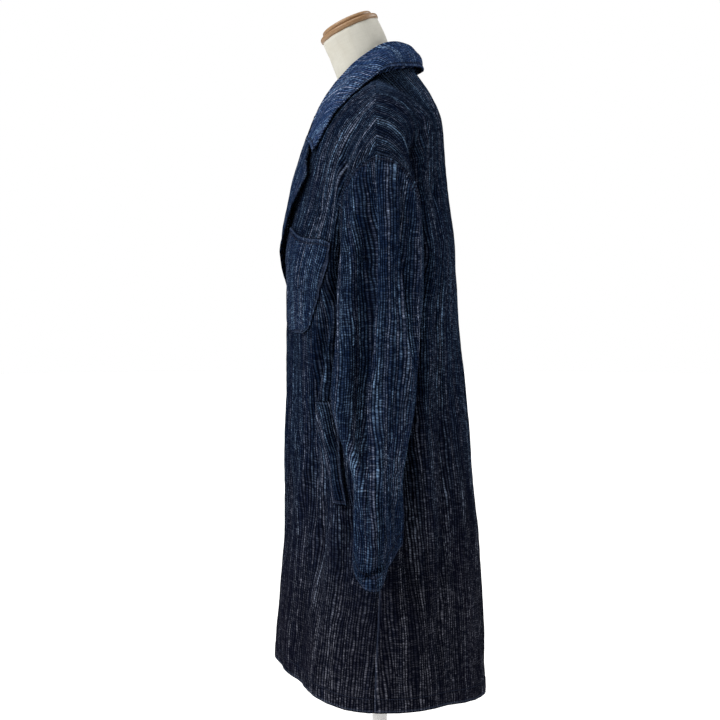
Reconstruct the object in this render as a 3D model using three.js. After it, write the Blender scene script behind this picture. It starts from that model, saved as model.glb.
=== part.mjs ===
// A long kasuri coat with a notched collar, on its limbless dress form.
// Millimetres, +Z up. +X is the wearer's left, -Y the front, +Y the back.
// The origin is the centre of the underside of the stand's base.
import * as THREE from "three";

// ---------------------------------------------------------------- driving sizes
const CLOTH = 2.0; // wall of the coat cloth
const DOUBLE = 2.4; // wall of the collar, lapels and pockets, which are two layers
const GAP = 0.3; // between pieces at a seam
const OVERLAP = 26; // how far each front edge passes the centre line
const OVER = 2.4, UNDER = 10; // the left front stands out, the right one in, where they cross
const UNDERARM_Z = 985; // height of the bottom of the armhole
const HOLLOW = 16; // how far the upper chest falls back beside the lapel
const BASE_D = 360, BASE_H = 18, STEM_D = 25, STEM_TOP = 620;
const CAP_D = 102, CAP_TOP_D = 87, CAP_TILT = 25;

// Horizontal sections of the coat body below the armholes: half width, the y of
// the front, side seam and back, and how square the section is (2 is an ellipse).
const BODY = [
  { z: 360, half: 228, front: -168, side: -14, back: 173, square: 2.3 },
  { z: 440, half: 226, front: -167, side: -12, back: 170, square: 2.3 },
  { z: 520, half: 223, front: -160, side: -8, back: 165.5, square: 2.3 },
  { z: 620, half: 219, front: -153, side: -4, back: 159, square: 2.3 },
  { z: 720, half: 215, front: -152.5, side: 0, back: 150, square: 2.3 },
  { z: 855, half: 211, front: -150, side: 3, back: 136, square: 2.35 },
  { z: 970, half: 210, front: -150, side: 5, back: 127, square: 2.4 },
  { z: 1022, half: 210, front: -148, side: 6, back: 123, square: 2.4 },
];
// Height of the hem against y: the coat is a little longer behind.
const HEM = [
  { y: -175, z: 424 },
  { y: -158, z: 415 },
  { y: -135, z: 408 },
  { y: -105, z: 396 },
  { y: -75, z: 387 },
  { y: -30, z: 380 },
  { y: 90, z: 378 },
  { y: 130, z: 373 },
  { y: 178, z: 362 },
];
// Front edge above the underarm: it follows the fold of the lapel, then the neck.
const FRONT_EDGE = [
  { level: 0.0, x: -26, y: -149, z: 985 },
  { level: 0.12, x: -22, y: -146, z: 1022 },
  { level: 0.22, x: -4, y: -146.5, z: 1062 },
  { level: 0.34, x: 12, y: -147, z: 1106 },
  { level: 0.46, x: 26, y: -140, z: 1150 },
  { level: 0.6, x: 39, y: -132, z: 1198 },
  { level: 0.74, x: 50, y: -115, z: 1248 },
  { level: 0.86, x: 57, y: -88, z: 1296 },
  { level: 0.94, x: 65, y: -50, z: 1334 },
  { level: 1.0, x: 71, y: -9, z: 1360 },
];
const ARM_FRONT = [
  { level: 0.0, x: 211, y: 6, z: 985 },
  { level: 0.12, x: 211, y: -26, z: 1000 },
  { level: 0.24, x: 214, y: -45, z: 1030 },
  { level: 0.4, x: 219, y: -56, z: 1080 },
  { level: 0.56, x: 226, y: -60, z: 1128 },
  { level: 0.7, x: 234, y: -56, z: 1166 },
  { level: 0.82, x: 241, y: -42, z: 1192 },
  { level: 0.92, x: 246, y: -24, z: 1208 },
  { level: 1.0, x: 248, y: -9, z: 1216 },
];
const BACK_EDGE = [
  { level: 0.0, x: 0, y: 125, z: 985 },
  { level: 0.2, x: 0, y: 119, z: 1080 },
  { level: 0.4, x: 0, y: 109, z: 1175 },
  { level: 0.6, x: 0, y: 102.5, z: 1255 },
  { level: 0.74, x: 0, y: 99, z: 1300 },
  { level: 0.86, x: 0, y: 84, z: 1336 },
  { level: 0.94, x: 0, y: 67, z: 1362 },
  { level: 1.0, x: 0, y: 55, z: 1380 },
];
const ARM_BACK = [
  { level: 0.0, x: 211, y: 6, z: 985 },
  { level: 0.12, x: 211, y: 34, z: 1000 },
  { level: 0.26, x: 215, y: 50, z: 1036 },
  { level: 0.42, x: 221, y: 56, z: 1086 },
  { level: 0.58, x: 228, y: 54, z: 1134 },
  { level: 0.72, x: 235, y: 48, z: 1168 },
  { level: 0.84, x: 242, y: 34, z: 1194 },
  { level: 0.93, x: 246, y: 14, z: 1210 },
  { level: 1.0, x: 248, y: -9, z: 1216 },
];
// The shoulder seam, from the neck to the end of the dropped shoulder.
const SHOULDER = [
  { along: 0.0, x: 71, y: -9, z: 1360 },
  { along: 0.16, x: 102, y: -9, z: 1350 },
  { along: 0.32, x: 134, y: -9, z: 1338 },
  { along: 0.48, x: 164, y: -9, z: 1322 },
  { along: 0.62, x: 190, y: -9, z: 1301 },
  { along: 0.76, x: 213, y: -9, z: 1273 },
  { along: 0.9, x: 235, y: -9, z: 1240 },
  { along: 1.0, x: 248, y: -9, z: 1216 },
];
// The back neckline, from the centre back to the shoulder seam.
const NECK_BACK = [
  { along: 0.0, x: 0, y: 55, z: 1380 },
  { along: 0.4, x: 30, y: 48, z: 1378 },
  { along: 0.75, x: 57, y: 22, z: 1370 },
  { along: 1.0, x: 71, y: -9, z: 1360 },
];
// Sections of the hanging sleeve: front and back y, inner and outer x.
const SLEEVE = [
  { z: 1010, front: -69, back: 58, inner: 214, outer: 297 },
  { z: 930, front: -71, back: 51, inner: 216, outer: 300 },
  { z: 850, front: -73, back: 45, inner: 219, outer: 301 },
  { z: 800, front: -60, back: 37, inner: 221, outer: 300 },
  { z: 745, front: -44, back: 28, inner: 224, outer: 299 },
  { z: 680, front: -42, back: 29, inner: 226, outer: 299 },
  { z: 620, front: -43, back: 28, inner: 228, outer: 300 },
  { z: 560, front: -43, back: 26, inner: 228, outer: 300 },
];
// Height of the sleeve hem round the sleeve (0 inner, 0.25 front, 0.5 outer).
const CUFF = [
  { round: 0.0, z: 618 },
  { round: 0.15, z: 610 },
  { round: 0.27, z: 614 },
  { round: 0.34, z: 600 },
  { round: 0.4, z: 588 },
  { round: 0.46, z: 582 },
  { round: 0.52, z: 585 },
  { round: 0.57, z: 616 },
  { round: 0.64, z: 638 },
  { round: 0.76, z: 646 },
  { round: 0.88, z: 636 },
  { round: 1.0, z: 618 },
];
// Largest folds of the sleeve: where round it, from top to bottom height, the
// width of each trough (or ridge, if deep is negative) and how deep it is.
const SLEEVE_FOLDS = [
  { top: 1190, round: 0.462, bottom: 730, end: 0.434, width: 0.042, deep: 17 },
  { top: 1180, round: 0.572, bottom: 930, end: 0.668, width: 0.036, deep: 9 },
  { top: 1000, round: 0.14, bottom: 640, end: 0.16, width: 0.06, deep: 8 },
  { top: 830, round: 0.56, bottom: 600, end: 0.5, width: 0.045, deep: 8 },
  { top: 1120, round: 0.86, bottom: 700, end: 0.84, width: 0.05, deep: 7 },
];
// Folds of the body: distance round from the centre front (0) to the centre
// back (1), from a top height to a bottom height.
const BODY_FOLDS = [
  { top: 960, round: 0.3, bottom: 430, end: 0.26, width: 0.05, deep: 6 },
  { top: 900, round: 0.14, bottom: 400, end: 0.1, width: 0.05, deep: -4 },
  { top: 980, round: 0.66, bottom: 400, end: 0.69, width: 0.06, deep: 7 },
  { top: 1000, round: 0.84, bottom: 380, end: 0.86, width: 0.05, deep: -5 },
];
// The collar from the centre back to its point: neck seam, top fold, outer edge.
const COLLAR = [
  { along: 0.0, sx: 0, sy: 54, sz: 1383, fx: 0, fy: 54, fz: 1411, ex: 0, ey: 70, ez: 1380 },
  { along: 0.1, sx: 27, sy: 48, sz: 1382, fx: 26, fy: 48, fz: 1414, ex: 38, ey: 60, ez: 1379 },
  { along: 0.2, sx: 50, sy: 29, sz: 1376, fx: 46, fy: 33, fz: 1416, ex: 70, ey: 41, ez: 1374 },
  { along: 0.29, sx: 62, sy: 12, sz: 1370, fx: 56, fy: 17, fz: 1415, ex: 95, ey: 21, ez: 1369 },
  { along: 0.38, sx: 69, sy: -8, sz: 1365, fx: 62, fy: -2, fz: 1409, ex: 113, ey: 3, ez: 1361 },
  { along: 0.48, sx: 68, sy: -28, sz: 1353, fx: 66, fy: -23, fz: 1395, ex: 122, ey: -16, ez: 1347 },
  { along: 0.58, sx: 64, sy: -48, sz: 1338, fx: 67, fy: -42, fz: 1380, ex: 130, ey: -37, ez: 1328 },
  { along: 0.68, sx: 60, sy: -66, sz: 1321, fx: 65, fy: -60, fz: 1362, ex: 136, ey: -58, ez: 1305 },
  { along: 0.78, sx: 55, sy: -84, sz: 1301, fx: 61, fy: -77, fz: 1343, ex: 137, ey: -72, ez: 1287 },
  { along: 0.88, sx: 51, sy: -100, sz: 1280, fx: 57, fy: -97, fz: 1312, ex: 133, ey: -87, ez: 1264 },
  { along: 1.0, sx: 47, sy: -116, sz: 1254, fx: 52, fy: -119, fz: 1262, ex: 119, ey: -105, ez: 1233 },
];
// The lapel from its notch down to the break: its outer edge, the height on the
// front edge where that line folds over, and how far its middle bows off the chest.
const LAPEL = [
  { along: 0.0, fold: 1247, ex: 118, ey: -110, ez: 1220, bow: 5 },
  { along: 0.13, fold: 1214, ex: 123, ey: -111, ez: 1199, bow: 6 },
  { along: 0.26, fold: 1186, ex: 112, ey: -122, ez: 1176, bow: 6 },
  { along: 0.4, fold: 1154, ex: 92, ey: -138, ez: 1150, bow: 6 },
  { along: 0.55, fold: 1120, ex: 76, ey: -148, ez: 1117, bow: 5 },
  { along: 0.7, fold: 1086, ex: 50, ey: -155, ez: 1086, bow: 3 },
  { along: 0.85, fold: 1054, ex: 24, ey: -154, ez: 1054, bow: 1 },
  { along: 1.0, fold: 1026, ex: -6, ey: -148, ez: 1026, bow: 0 },
];
// The dress form: sections of the body, then of the neck, which leans forward.
const FORM = [
  { y: 0, z: 622, half: 150, front: 92, back: 92, tilt: 0 },
  { y: 0, z: 640, half: 160, front: 100, back: 100, tilt: 0 },
  { y: 0, z: 720, half: 168, front: 108, back: 112, tilt: 0 },
  { y: 0, z: 820, half: 152, front: 98, back: 92, tilt: 0 },
  { y: 0, z: 910, half: 130, front: 86, back: 76, tilt: 0 },
  { y: 0, z: 1000, half: 143, front: 100, back: 84, tilt: 0 },
  { y: 0, z: 1080, half: 158, front: 114, back: 92, tilt: 0 },
  { y: 0, z: 1170, half: 172, front: 104, back: 92, tilt: 0 },
  { y: 0, z: 1230, half: 183, front: 84, back: 80, tilt: 0 },
  { y: -2, z: 1262, half: 185, front: 66, back: 66, tilt: 0 },
  { y: -4, z: 1284, half: 177, front: 55, back: 56, tilt: 0 },
  { y: -6, z: 1304, half: 154, front: 48, back: 49, tilt: 0 },
  { y: -8, z: 1323, half: 116, front: 44, back: 43, tilt: 3 },
  { y: -12, z: 1341, half: 71, front: 43, back: 41, tilt: 8 },
  { y: -17, z: 1362, half: 55, front: 47, back: 45, tilt: 15 },
  { y: -25, z: 1386, half: 52, front: 49.5, back: 49, tilt: 22 },
  { y: -36, z: 1415, half: 50, front: 49.5, back: 49.5, tilt: 25 },
  { y: -49, z: 1443, half: 49.5, front: 49.5, back: 49.5, tilt: 25 },
];
// The chest pocket on the left front: its two edges and height as shares of the
// panel (0 to 1 round it, 0 to 1 up it), from its rounded bottom to its mouth.
const CHEST_POCKET = [
  { up: 0.0, left: 0.4, right: 0.55, v: 0.528 },
  { up: 0.06, left: 0.33, right: 0.6, v: 0.537 },
  { up: 0.16, left: 0.295, right: 0.63, v: 0.556 },
  { up: 0.38, left: 0.28, right: 0.69, v: 0.6 },
  { up: 0.62, left: 0.275, right: 0.765, v: 0.65 },
  { up: 0.82, left: 0.27, right: 0.825, v: 0.692 },
  { up: 1.0, left: 0.27, right: 0.85, v: 0.73 },
];
// The welt of each side pocket, a slanting band that stands off at its rear edge.
const WELT = [
  { up: 0.0, left: 0.745, right: 0.815, v: 0.288 },
  { up: 0.25, left: 0.712, right: 0.785, v: 0.322 },
  { up: 0.5, left: 0.68, right: 0.76, v: 0.358 },
  { up: 0.75, left: 0.645, right: 0.74, v: 0.395 },
  { up: 1.0, left: 0.61, right: 0.72, v: 0.432 },
];
const WELT_LIFT = 7;

// ---------------------------------------------------------------- small helpers
const add = (a, b) => [a[0] + b[0], a[1] + b[1], a[2] + b[2]];
const sub = (a, b) => [a[0] - b[0], a[1] - b[1], a[2] - b[2]];
const mul = (a, k) => [a[0] * k, a[1] * k, a[2] * k];
const cross = (a, b) => [
  a[1] * b[2] - a[2] * b[1],
  a[2] * b[0] - a[0] * b[2],
  a[0] * b[1] - a[1] * b[0],
];
const len = (a) => Math.hypot(a[0], a[1], a[2]);
const unit = (a) => mul(a, 1 / (len(a) || 1));
const mix = (a, b, t) => add(mul(a, 1 - t), mul(b, t));
const clamp = (t) => Math.min(1, Math.max(0, t));
const ease = (a, b, t) => {
  const k = clamp((t - a) / (b - a));
  return k * k * (3 - 2 * k);
};
// A smooth curve through one named column of a table, against its key column.
function read(table, key, column, at) {
  const n = table.length;
  if (at <= table[0][key]) return table[0][column];
  if (at >= table[n - 1][key]) return table[n - 1][column];
  let i = 0;
  while (table[i + 1][key] < at) i++;
  const slope = (k) => {
    const a = Math.max(0, k - 1), b = Math.min(n - 1, k + 1);
    return (table[b][column] - table[a][column]) / (table[b][key] - table[a][key]);
  };
  const h = table[i + 1][key] - table[i][key], t = (at - table[i][key]) / h;
  const p = table[i][column], q = table[i + 1][column];
  return (
    p * (1 + 2 * t) * (1 - t) ** 2 + slope(i) * h * t * (1 - t) ** 2 +
    q * t * t * (3 - 2 * t) - slope(i + 1) * h * t * t * (1 - t)
  );
}
const point = (table, key, at, names = ["x", "y", "z"]) =>
  names.map((c) => read(table, key, c, at));
// Folds: each is a soft trough that wanders from its top to its bottom.
function folds(table, round, z) {
  let d = 0;
  for (const f of table) {
    const t = (f.top - z) / (f.top - f.bottom);
    if (t <= 0 || t >= 1.15) continue;
    const centre = f.round + (f.end - f.round) * t;
    const k = (round - centre) / f.width;
    d += f.deep * Math.exp(-k * k) * ease(0, 0.25, t) * (f.bottom < 500 ? 1 : 1 - ease(0.85, 1.15, t));
  }
  return d;
}

// ---------------------------------------------------------------- the coat body
// One horizontal half section, measured round from the centre front (x = 0).
function section(z) {
  const r = Object.fromEntries(
    ["half", "front", "side", "back", "square"].map((c) => [c, read(BODY, "z", c, z)]),
  );
  const pts = [], run = [0];
  const N = 120;
  for (let k = 0; k <= N; k++) {
    const a = -Math.PI / 2 + (Math.PI * k) / N;
    const c = Math.abs(Math.cos(a)) ** (2 / r.square), s = Math.abs(Math.sin(a)) ** (2 / r.square);
    pts.push([r.half * c, a < 0 ? r.side - (r.side - r.front) * s : r.side + (r.back - r.side) * s]);
    if (k) run.push(run[k - 1] + Math.hypot(pts[k][0] - pts[k - 1][0], pts[k][1] - pts[k - 1][1]));
  }
  const side = run[N / 2], whole = run[N];
  const at = (d) => {
    const m = Math.abs(d), e = Math.min(m, whole - 1e-6);
    let k = 1;
    while (k < N && run[k] < e) k++;
    const t = (e - run[k - 1]) / (run[k] - run[k - 1]);
    const p = [
      pts[k - 1][0] + (pts[k][0] - pts[k - 1][0]) * t,
      pts[k - 1][1] + (pts[k][1] - pts[k - 1][1]) * t,
    ];
    return d < 0 ? [-p[0], p[1]] : p;
  };
  return { at, side, whole };
}
const hemZ = (y) => read(HEM, "y", "z", y);
// A point of the lower coat, d millimetres round from the centre front.
function lower(part, w, panel) {
  let z = 400 + (UNDERARM_Z - 400) * w;
  let s = section(z), p;
  for (let pass = 0; pass < 3; pass++) {
    const d = panel(s, part);
    p = s.at(d);
    const hem = hemZ(p[1]);
    z = hem + (UNDERARM_Z - hem) * w;
    s = section(z);
  }
  const d = panel(s, part), f = folds(BODY_FOLDS, d / s.whole, z) * (1 - ease(0.85, 1, w));
  p = s.at(d);
  const q = s.at(d + 2), o = s.at(d - 2);
  const n = unit([-(o[1] - q[1]), o[0] - q[0], 0]); // outward in plan
  return [p[0] - n[0] * f, p[1] - n[1] * f, z];
}
const frontRound = (s, t) => -OVERLAP + (s.side + OVERLAP - GAP / 2) * t;
const backRound = (s, t) => s.whole - (s.whole - s.side - GAP / 2) * t;
// A domed patch between four edges. Bottom and top run with t, start and end with
// w. Near the start every column rises and turns over as the start edge does; by
// share it gives way to the end edge. With arch, columns away from the start rise
// fuller and come over the shoulder almost level.
function patch(bottom, top, start, end, t, w, share, arch) {
  const b = bottom(t), c = top(t), l = start(w), l0 = start(0), l1 = start(1);
  const turn = (i) => (l[i] - l0[i]) / (l1[i] - l0[i]);
  const deep = Math.max(1, Math.abs((b[1] - c[1]) / (l0[1] - l1[1]))) ** 0.85;
  const full = arch * ease(0.2, 0.7, t), swell = 0.058 * full * Math.sin(Math.PI * clamp((w - 0.42) / 0.58) ** 1.3);
  const late = arch > 0 ? 1 + (deep * (1 + 0.5 * full) - 1) * full : deep; // deep columns turn over later
  const near = [
    b[0] + (c[0] - b[0]) * w + (l[0] - l0[0] * (1 - w) - l1[0] * w) * (1 - t),
    b[1] + (c[1] - b[1]) * clamp(turn(1)) ** late,
    b[2] + (c[2] - b[2]) * (turn(2) + swell),
  ];
  const bow = sub(end(w), mix(end(0), end(1), w));
  return mix(near, add(mix(b, c, w), bow), share);
}
const SPLIT = 0.56; // share of the rows that lie below the armholes
const nudge = (p, from, by) => add(p, mul(unit(sub(p, from)), by));
// Whole panels: t runs round the body and v up from the hem, both 0 to 1.
function frontPanel(t, v) {
  if (v <= SPLIT) return lower(t, v / SPLIT, frontRound);
  const w = (v - SPLIT) / (1 - SPLIT);
  const p = patch(
    (k) => lower(k, 1, frontRound),
    (k) => add(point(SHOULDER, "along", k), [0, -GAP / 2, 0]),
    (k) => point(FRONT_EDGE, "level", k),
    (k) => add(point(ARM_FRONT, "level", k), [0, -GAP / 2, 0]),
    t, w, t ** 1.6, 0,
  );
  // the chest falls back a little between the lapel and the shoulder
  return add(p, [0, HOLLOW * Math.sin(Math.PI * t) * Math.sin(Math.PI * ease(0.2, 1, w)), 0]);
}
function backPanel(t, v) {
  if (v <= SPLIT) return lower(t, v / SPLIT, backRound);
  const w = (v - SPLIT) / (1 - SPLIT), neck = 0.28;
  return patch(
    (k) => lower(k, 1, backRound),
    (k) => add(k < neck ? point(NECK_BACK, "along", k / neck) : point(SHOULDER, "along", (k - neck) / (1 - neck)), [0, GAP / 2, 0]),
    (k) => point(BACK_EDGE, "level", k),
    (k) => add(point(ARM_BACK, "level", k), [0, GAP / 2, 0]),
    t, w, t ** 2, 1,
  );
}
// The overlap: the left front lies over the right one at the centre.
const layer = (p, by) => [p[0], p[1] + by * (1 - ease(30, 95, Math.abs(p[0]))) * (p[1] < 0 ? 1 : 0) * (1 - ease(1180, 1250, p[2])), p[2]];
const frontLeft = (t, v) => layer(frontPanel(t, v), -OVER);
const mirror = (p) => [-p[0], p[1], p[2]];
const frontRight = (t, v) => mirror(layer(frontPanel(t, v), UNDER));

// ---------------------------------------------------------------- the sleeve
function armhole(round) {
  // 0 underarm, up the front to the top at 0.5, and down the back
  const p = round <= 0.5 ? point(ARM_FRONT, "level", round * 2) : point(ARM_BACK, "level", (1 - round) * 2);
  return p;
}
function sleeveRing(round, z) {
  const r = Object.fromEntries(["front", "back", "inner", "outer"].map((c) => [c, read([...SLEEVE].reverse(), "z", c, z)]));
  const a = 2 * Math.PI * round;
  const cx = (r.inner + r.outer) / 2, cy = (r.front + r.back) / 2, sq = 2 / 2.25;
  const c = Math.cos(a), s = Math.sin(a);
  return [
    cx - ((r.outer - r.inner) / 2) * Math.sign(c) * Math.abs(c) ** sq,
    cy - ((r.back - r.front) / 2) * Math.sign(s) * Math.abs(s) ** sq,
    z,
  ];
}
const CAP_END = 930; // height where the sleeve becomes a plain tube
const CAP_SHARE = 0.45;
function sleevePoint(round, v) {
  // v runs from the armhole (0) to the hem (1)
  let p;
  if (v < CAP_SHARE) {
    const w = v / CAP_SHARE, a = armhole(round), b = sleeveRing(round, CAP_END);
    const up = (1 - Math.cos(2 * Math.PI * round)) / 2, span = a[2] - CAP_END;
    const start = [20 + 95 * up, -34 * Math.sin(2 * Math.PI * round) * (1 - 0.2 * up), -40 - 0.85 * span];
    const end = [0, 0, -0.9 * span - 20];
    const h1 = (1 + 2 * w) * (1 - w) ** 2, h2 = w * (1 - w) ** 2, h3 = w * w * (3 - 2 * w), h4 = -w * w * (1 - w);
    p = [0, 1, 2].map((i) => a[i] * h1 + start[i] * h2 + b[i] * h3 + end[i] * h4);
    p[0] += (5.4 - 2.4 * up) * (1 - ease(0, 0.4, w)); // the sleeve head stands clear of the body
  } else {
    const w = (v - CAP_SHARE) / (1 - CAP_SHARE), end = read(CUFF, "round", "z", round);
    p = sleeveRing(round, CAP_END + (end - CAP_END) * w);
  }
  const f = folds(SLEEVE_FOLDS, round, p[2]) * ease(0, 0.25, v);
  const centre = [258, -8, p[2]];
  return nudge(p, centre, -f);
}

// ---------------------------------------------------------------- solids
// A closed wall on a grid of points: the grid is its outer face.
function wall(grid, thick, flip = false, closed = false) {
  const n = grid.length, m = grid[0].length;
  const at = (i, j) => grid[Math.min(n - 1, Math.max(0, i))][closed ? (j + m) % m : Math.min(m - 1, Math.max(0, j))];
  const inner = grid.map((row, i) =>
    row.map((p, j) => {
      const a = sub(at(i + 1, j), at(i - 1, j)), b = sub(at(i, j + 1), at(i, j - 1));
      const k = unit(cross(b, a));
      return sub(p, mul(k, (flip ? -1 : 1) * thick));
    }),
  );
  const pts = [...grid.flat(), ...inner.flat()].flat(), index = [], off = n * m;
  const quad = (a, b, c, d) => (flip ? index.push(a, c, b, a, d, c) : index.push(a, b, c, a, c, d));
  const cols = closed ? m : m - 1;
  for (let i = 0; i < n - 1; i++)
    for (let j = 0; j < cols; j++) {
      const k = (j + 1) % m;
      const a = i * m + j, b = i * m + k, c = (i + 1) * m + k, d = (i + 1) * m + j;
      quad(a, b, c, d);
      quad(off + a, off + d, off + c, off + b);
    }
  for (let j = 0; j < cols; j++) {
    const k = (j + 1) % m, l = (n - 1) * m;
    quad(k, j, off + j, off + k);
    quad(l + j, l + k, off + l + k, off + l + j);
  }
  if (!closed)
    for (let i = 0; i < n - 1; i++) {
      const a = i * m, b = (i + 1) * m, e = a + m - 1, f = b + m - 1;
      quad(a, b, off + b, off + a);
      quad(f, e, off + e, off + f);
    }
  return new THREE.BufferGeometry()
    .setAttribute("position", new THREE.Float32BufferAttribute(pts, 3))
    .setIndex(index);
}
const gridOf = (rows, cols, fn) =>
  Array.from({ length: rows + 1 }, (_, i) => Array.from({ length: cols + 1 }, (_, j) => fn(j / cols, i / rows)));
// The outward normal of a panel at (t, v).
function normalOf(fn, t, v, sign) {
  const e = 0.01;
  const a = sub(fn(Math.min(1, t + e), v), fn(Math.max(0, t - e), v));
  const b = sub(fn(t, Math.min(1, v + e)), fn(t, Math.max(0, v - e)));
  return mul(unit(cross(a, b)), sign);
}

// Closed rings joined into one solid, capped at both ends.
function loft(rings) {
  const m = rings[0].length, pts = rings.flat().flat(), index = [];
  for (let i = 0; i < rings.length - 1; i++)
    for (let j = 0; j < m; j++) {
      const k = (j + 1) % m, a = i * m + j, b = i * m + k, c = (i + 1) * m + k, d = (i + 1) * m + j;
      index.push(a, b, c, a, c, d);
    }
  const cap = (ring, base, up) => {
    const c = mul(ring.reduce(add, [0, 0, 0]), 1 / m), id = pts.length / 3;
    pts.push(...c);
    for (let j = 0; j < m; j++) {
      const k = (j + 1) % m;
      up ? index.push(base + j, base + k, id) : index.push(base + k, base + j, id);
    }
  };
  cap(rings[0], 0, false);
  cap(rings.at(-1), (rings.length - 1) * m, true);
  return new THREE.BufferGeometry()
    .setAttribute("position", new THREE.Float32BufferAttribute(pts, 3))
    .setIndex(index);
}

const root = new THREE.Group();
function put(name, geometry, colour, roughness = 0.9, metalness = 0) {
  const mesh = new THREE.Mesh(geometry, new THREE.MeshStandardMaterial({ color: colour, roughness, metalness }));
  mesh.name = name;
  root.add(mesh);
  return mesh;
}
const INDIGO = 0x1d2236, CANVAS = 0xb9b6b3, WOOD = 0xc9a77c;

// ---------------------------------------------------------------- coat panels
const ROWS = 23, FRONT_COLS = 11, BACK_COLS = 20;
put("front_left", wall(gridOf(ROWS, FRONT_COLS, frontLeft), CLOTH, true), INDIGO);
put("front_right", wall(gridOf(ROWS, FRONT_COLS, frontRight), CLOTH, false), INDIGO);
put("back", wall(gridOf(ROWS, BACK_COLS, (u, v) => (u < 0.5 ? mirror(backPanel(1 - 2 * u, v)) : backPanel(2 * u - 1, v))), CLOTH, false), INDIGO);

const SLEEVE_ROWS = 16, SLEEVE_COLS = 24;
const sleeveGrid = (side) =>
  Array.from({ length: SLEEVE_ROWS + 1 }, (_, i) =>
    Array.from({ length: SLEEVE_COLS }, (_, j) => side(sleevePoint(j / SLEEVE_COLS, i / SLEEVE_ROWS))),
  );
put("sleeve_left", wall(sleeveGrid((p) => p), CLOTH, false, true), INDIGO);
put("sleeve_right", wall(sleeveGrid(mirror), CLOTH, true, true), INDIGO);

// ---------------------------------------------------------------- collar
// Across the collar: up the stand, round the top fold, down the fall.
function collarPoint(c, across) {
  const a = Math.abs(c), side = c < 0 ? -1 : 1;
  const s = point(COLLAR, "along", a, ["sx", "sy", "sz"]);
  const f = point(COLLAR, "along", a, ["fx", "fy", "fz"]);
  const e = point(COLLAR, "along", a, ["ex", "ey", "ez"]);
  const tip = ease(0.8, 1, a);
  // the fold is a round turn about 10 mm across between stand and fall
  const out = unit([e[0] - s[0], e[1] - s[1], 0]);
  const fold = 5 * (1 - 0.45 * tip);
  const inTop = add(f, add(mul(out, -fold), [0, 0, -6])), outTop = add(f, add(mul(out, fold), [0, 0, -5]));
  const bow = add(mix(outTop, e, 0.5), add(mul(out, 4), [0, 0, 4]));
  const path = [s, mix(s, inTop, 0.5), inTop, f, outTop, mix(outTop, bow, 0.6), bow, mix(bow, e, 0.55), e];
  const k = across * (path.length - 1), i = Math.min(path.length - 2, Math.floor(k));
  const p = mix(path[i], path[i + 1], k - i);
  return [p[0] * side, p[1], p[2]];
}
put("collar", wall(gridOf(8, 26, (t, v) => collarPoint(2 * t - 1, v)), DOUBLE, true), INDIGO);

// ---------------------------------------------------------------- lapels
function lapelPoint(along, across) {
  const fold = read(LAPEL, "along", "fold", along);
  const f = point(FRONT_EDGE, "z", fold);
  const e = point(LAPEL, "along", along, ["ex", "ey", "ez"]);
  const bow = read(LAPEL, "along", "bow", along);
  const p = mix(f, e, across), h = Math.sin(Math.PI * Math.sqrt(across)) * bow;
  return [p[0] - 0.3 * h, p[1] - h - DOUBLE - 0.6, p[2]];
}
const tuck = (p, along, across) => add(p, [0, (0.3 - 1.7 * ease(0.75, 0.95, along) + 5 * across * (1 - ease(0.8, 0.97, along))) * ease(0.5, 0.72, along), 0]); // under the left front
put("lapel_left", wall(gridOf(11, 5, (t, v) => layer(lapelPoint(v, t), -OVER)), DOUBLE, false), INDIGO);
put("lapel_right", wall(gridOf(11, 5, (t, v) => mirror(tuck(layer(lapelPoint(v, t), UNDER), v, t))), DOUBLE, true), INDIGO);

// ---------------------------------------------------------------- pockets
// A patch that lies on a panel: the panel's own points, moved out along its normal.
function onPanel(panel, table, across, up, out, sign) {
  const left = read(table, "up", "left", up), right = read(table, "up", "right", up);
  const t = left + (right - left) * across, v = read(table, "up", "v", up);
  return add(panel(t, v), mul(normalOf(panel, t, v, sign), out));
}
const pocketDip = (across, up) => -0.05 * up * Math.sin(Math.PI * clamp(across)) ** 2;
put("chest_pocket", wall(gridOf(9, 8, (t, v) => onPanel(frontLeft, CHEST_POCKET, t, v + pocketDip(t, v), 0.7 + DOUBLE + 1.6 * v * Math.sin(Math.PI * t), 1)), DOUBLE, true), INDIGO);
const weltOut = (t) => 0.7 + DOUBLE + WELT_LIFT * ease(0.1, 1, t);
put("welt_left", wall(gridOf(8, 3, (t, v) => onPanel(frontLeft, WELT, t, v, weltOut(t), 1)), DOUBLE, true), INDIGO);
put("welt_right", wall(gridOf(8, 3, (t, v) => onPanel(frontRight, WELT, t, v, weltOut(t), -1)), DOUBLE, false), INDIGO);

// ---------------------------------------------------------------- dress form
const SIDES = 24;
put(
  "form_torso",
  loft(
    Array.from({ length: 24 }, (_, i) => {
      const at = FORM[0].z + ((FORM.at(-1).z - FORM[0].z) * i) / 23;
      const r = Object.fromEntries(["y", "half", "front", "back", "tilt"].map((c) => [c, read(FORM, "z", c, at)]));
      return Array.from({ length: SIDES }, (_, j) => {
        const a = (2 * Math.PI * j) / SIDES, t = (r.tilt * Math.PI) / 180;
        const q = (Math.sin(a) < 0 ? r.front : r.back) * Math.sin(a);
        return [r.half * Math.cos(a), r.y + q * Math.cos(t), at + q * Math.sin(t)];
      });
    }),
  ),
  CANVAS, 0.95,
);
const turned = (profile, sides = 24) => {
  const g = new THREE.LatheGeometry(profile.map(([r, z]) => new THREE.Vector2(r, z)), sides);
  return g.rotateX(Math.PI / 2);
};
const disc = (d, z0, z1, round) => [
  [0, z0], [d / 2 - round, z0], [d / 2 - round * 0.3, z0 + round * 0.3], [d / 2, z0 + round],
  [d / 2, z1 - round], [d / 2 - round * 0.3, z1 - round * 0.3], [d / 2 - round, z1], [0, z1],
];
const cap = new THREE.Group();
cap.position.set(0, -49, 1443);
cap.rotation.x = (CAP_TILT * Math.PI) / 180;
root.add(cap);
const capLower = new THREE.Mesh(turned(disc(CAP_D, 0.4, 9, 3)), new THREE.MeshStandardMaterial({ color: WOOD, roughness: 0.6 }));
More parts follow.
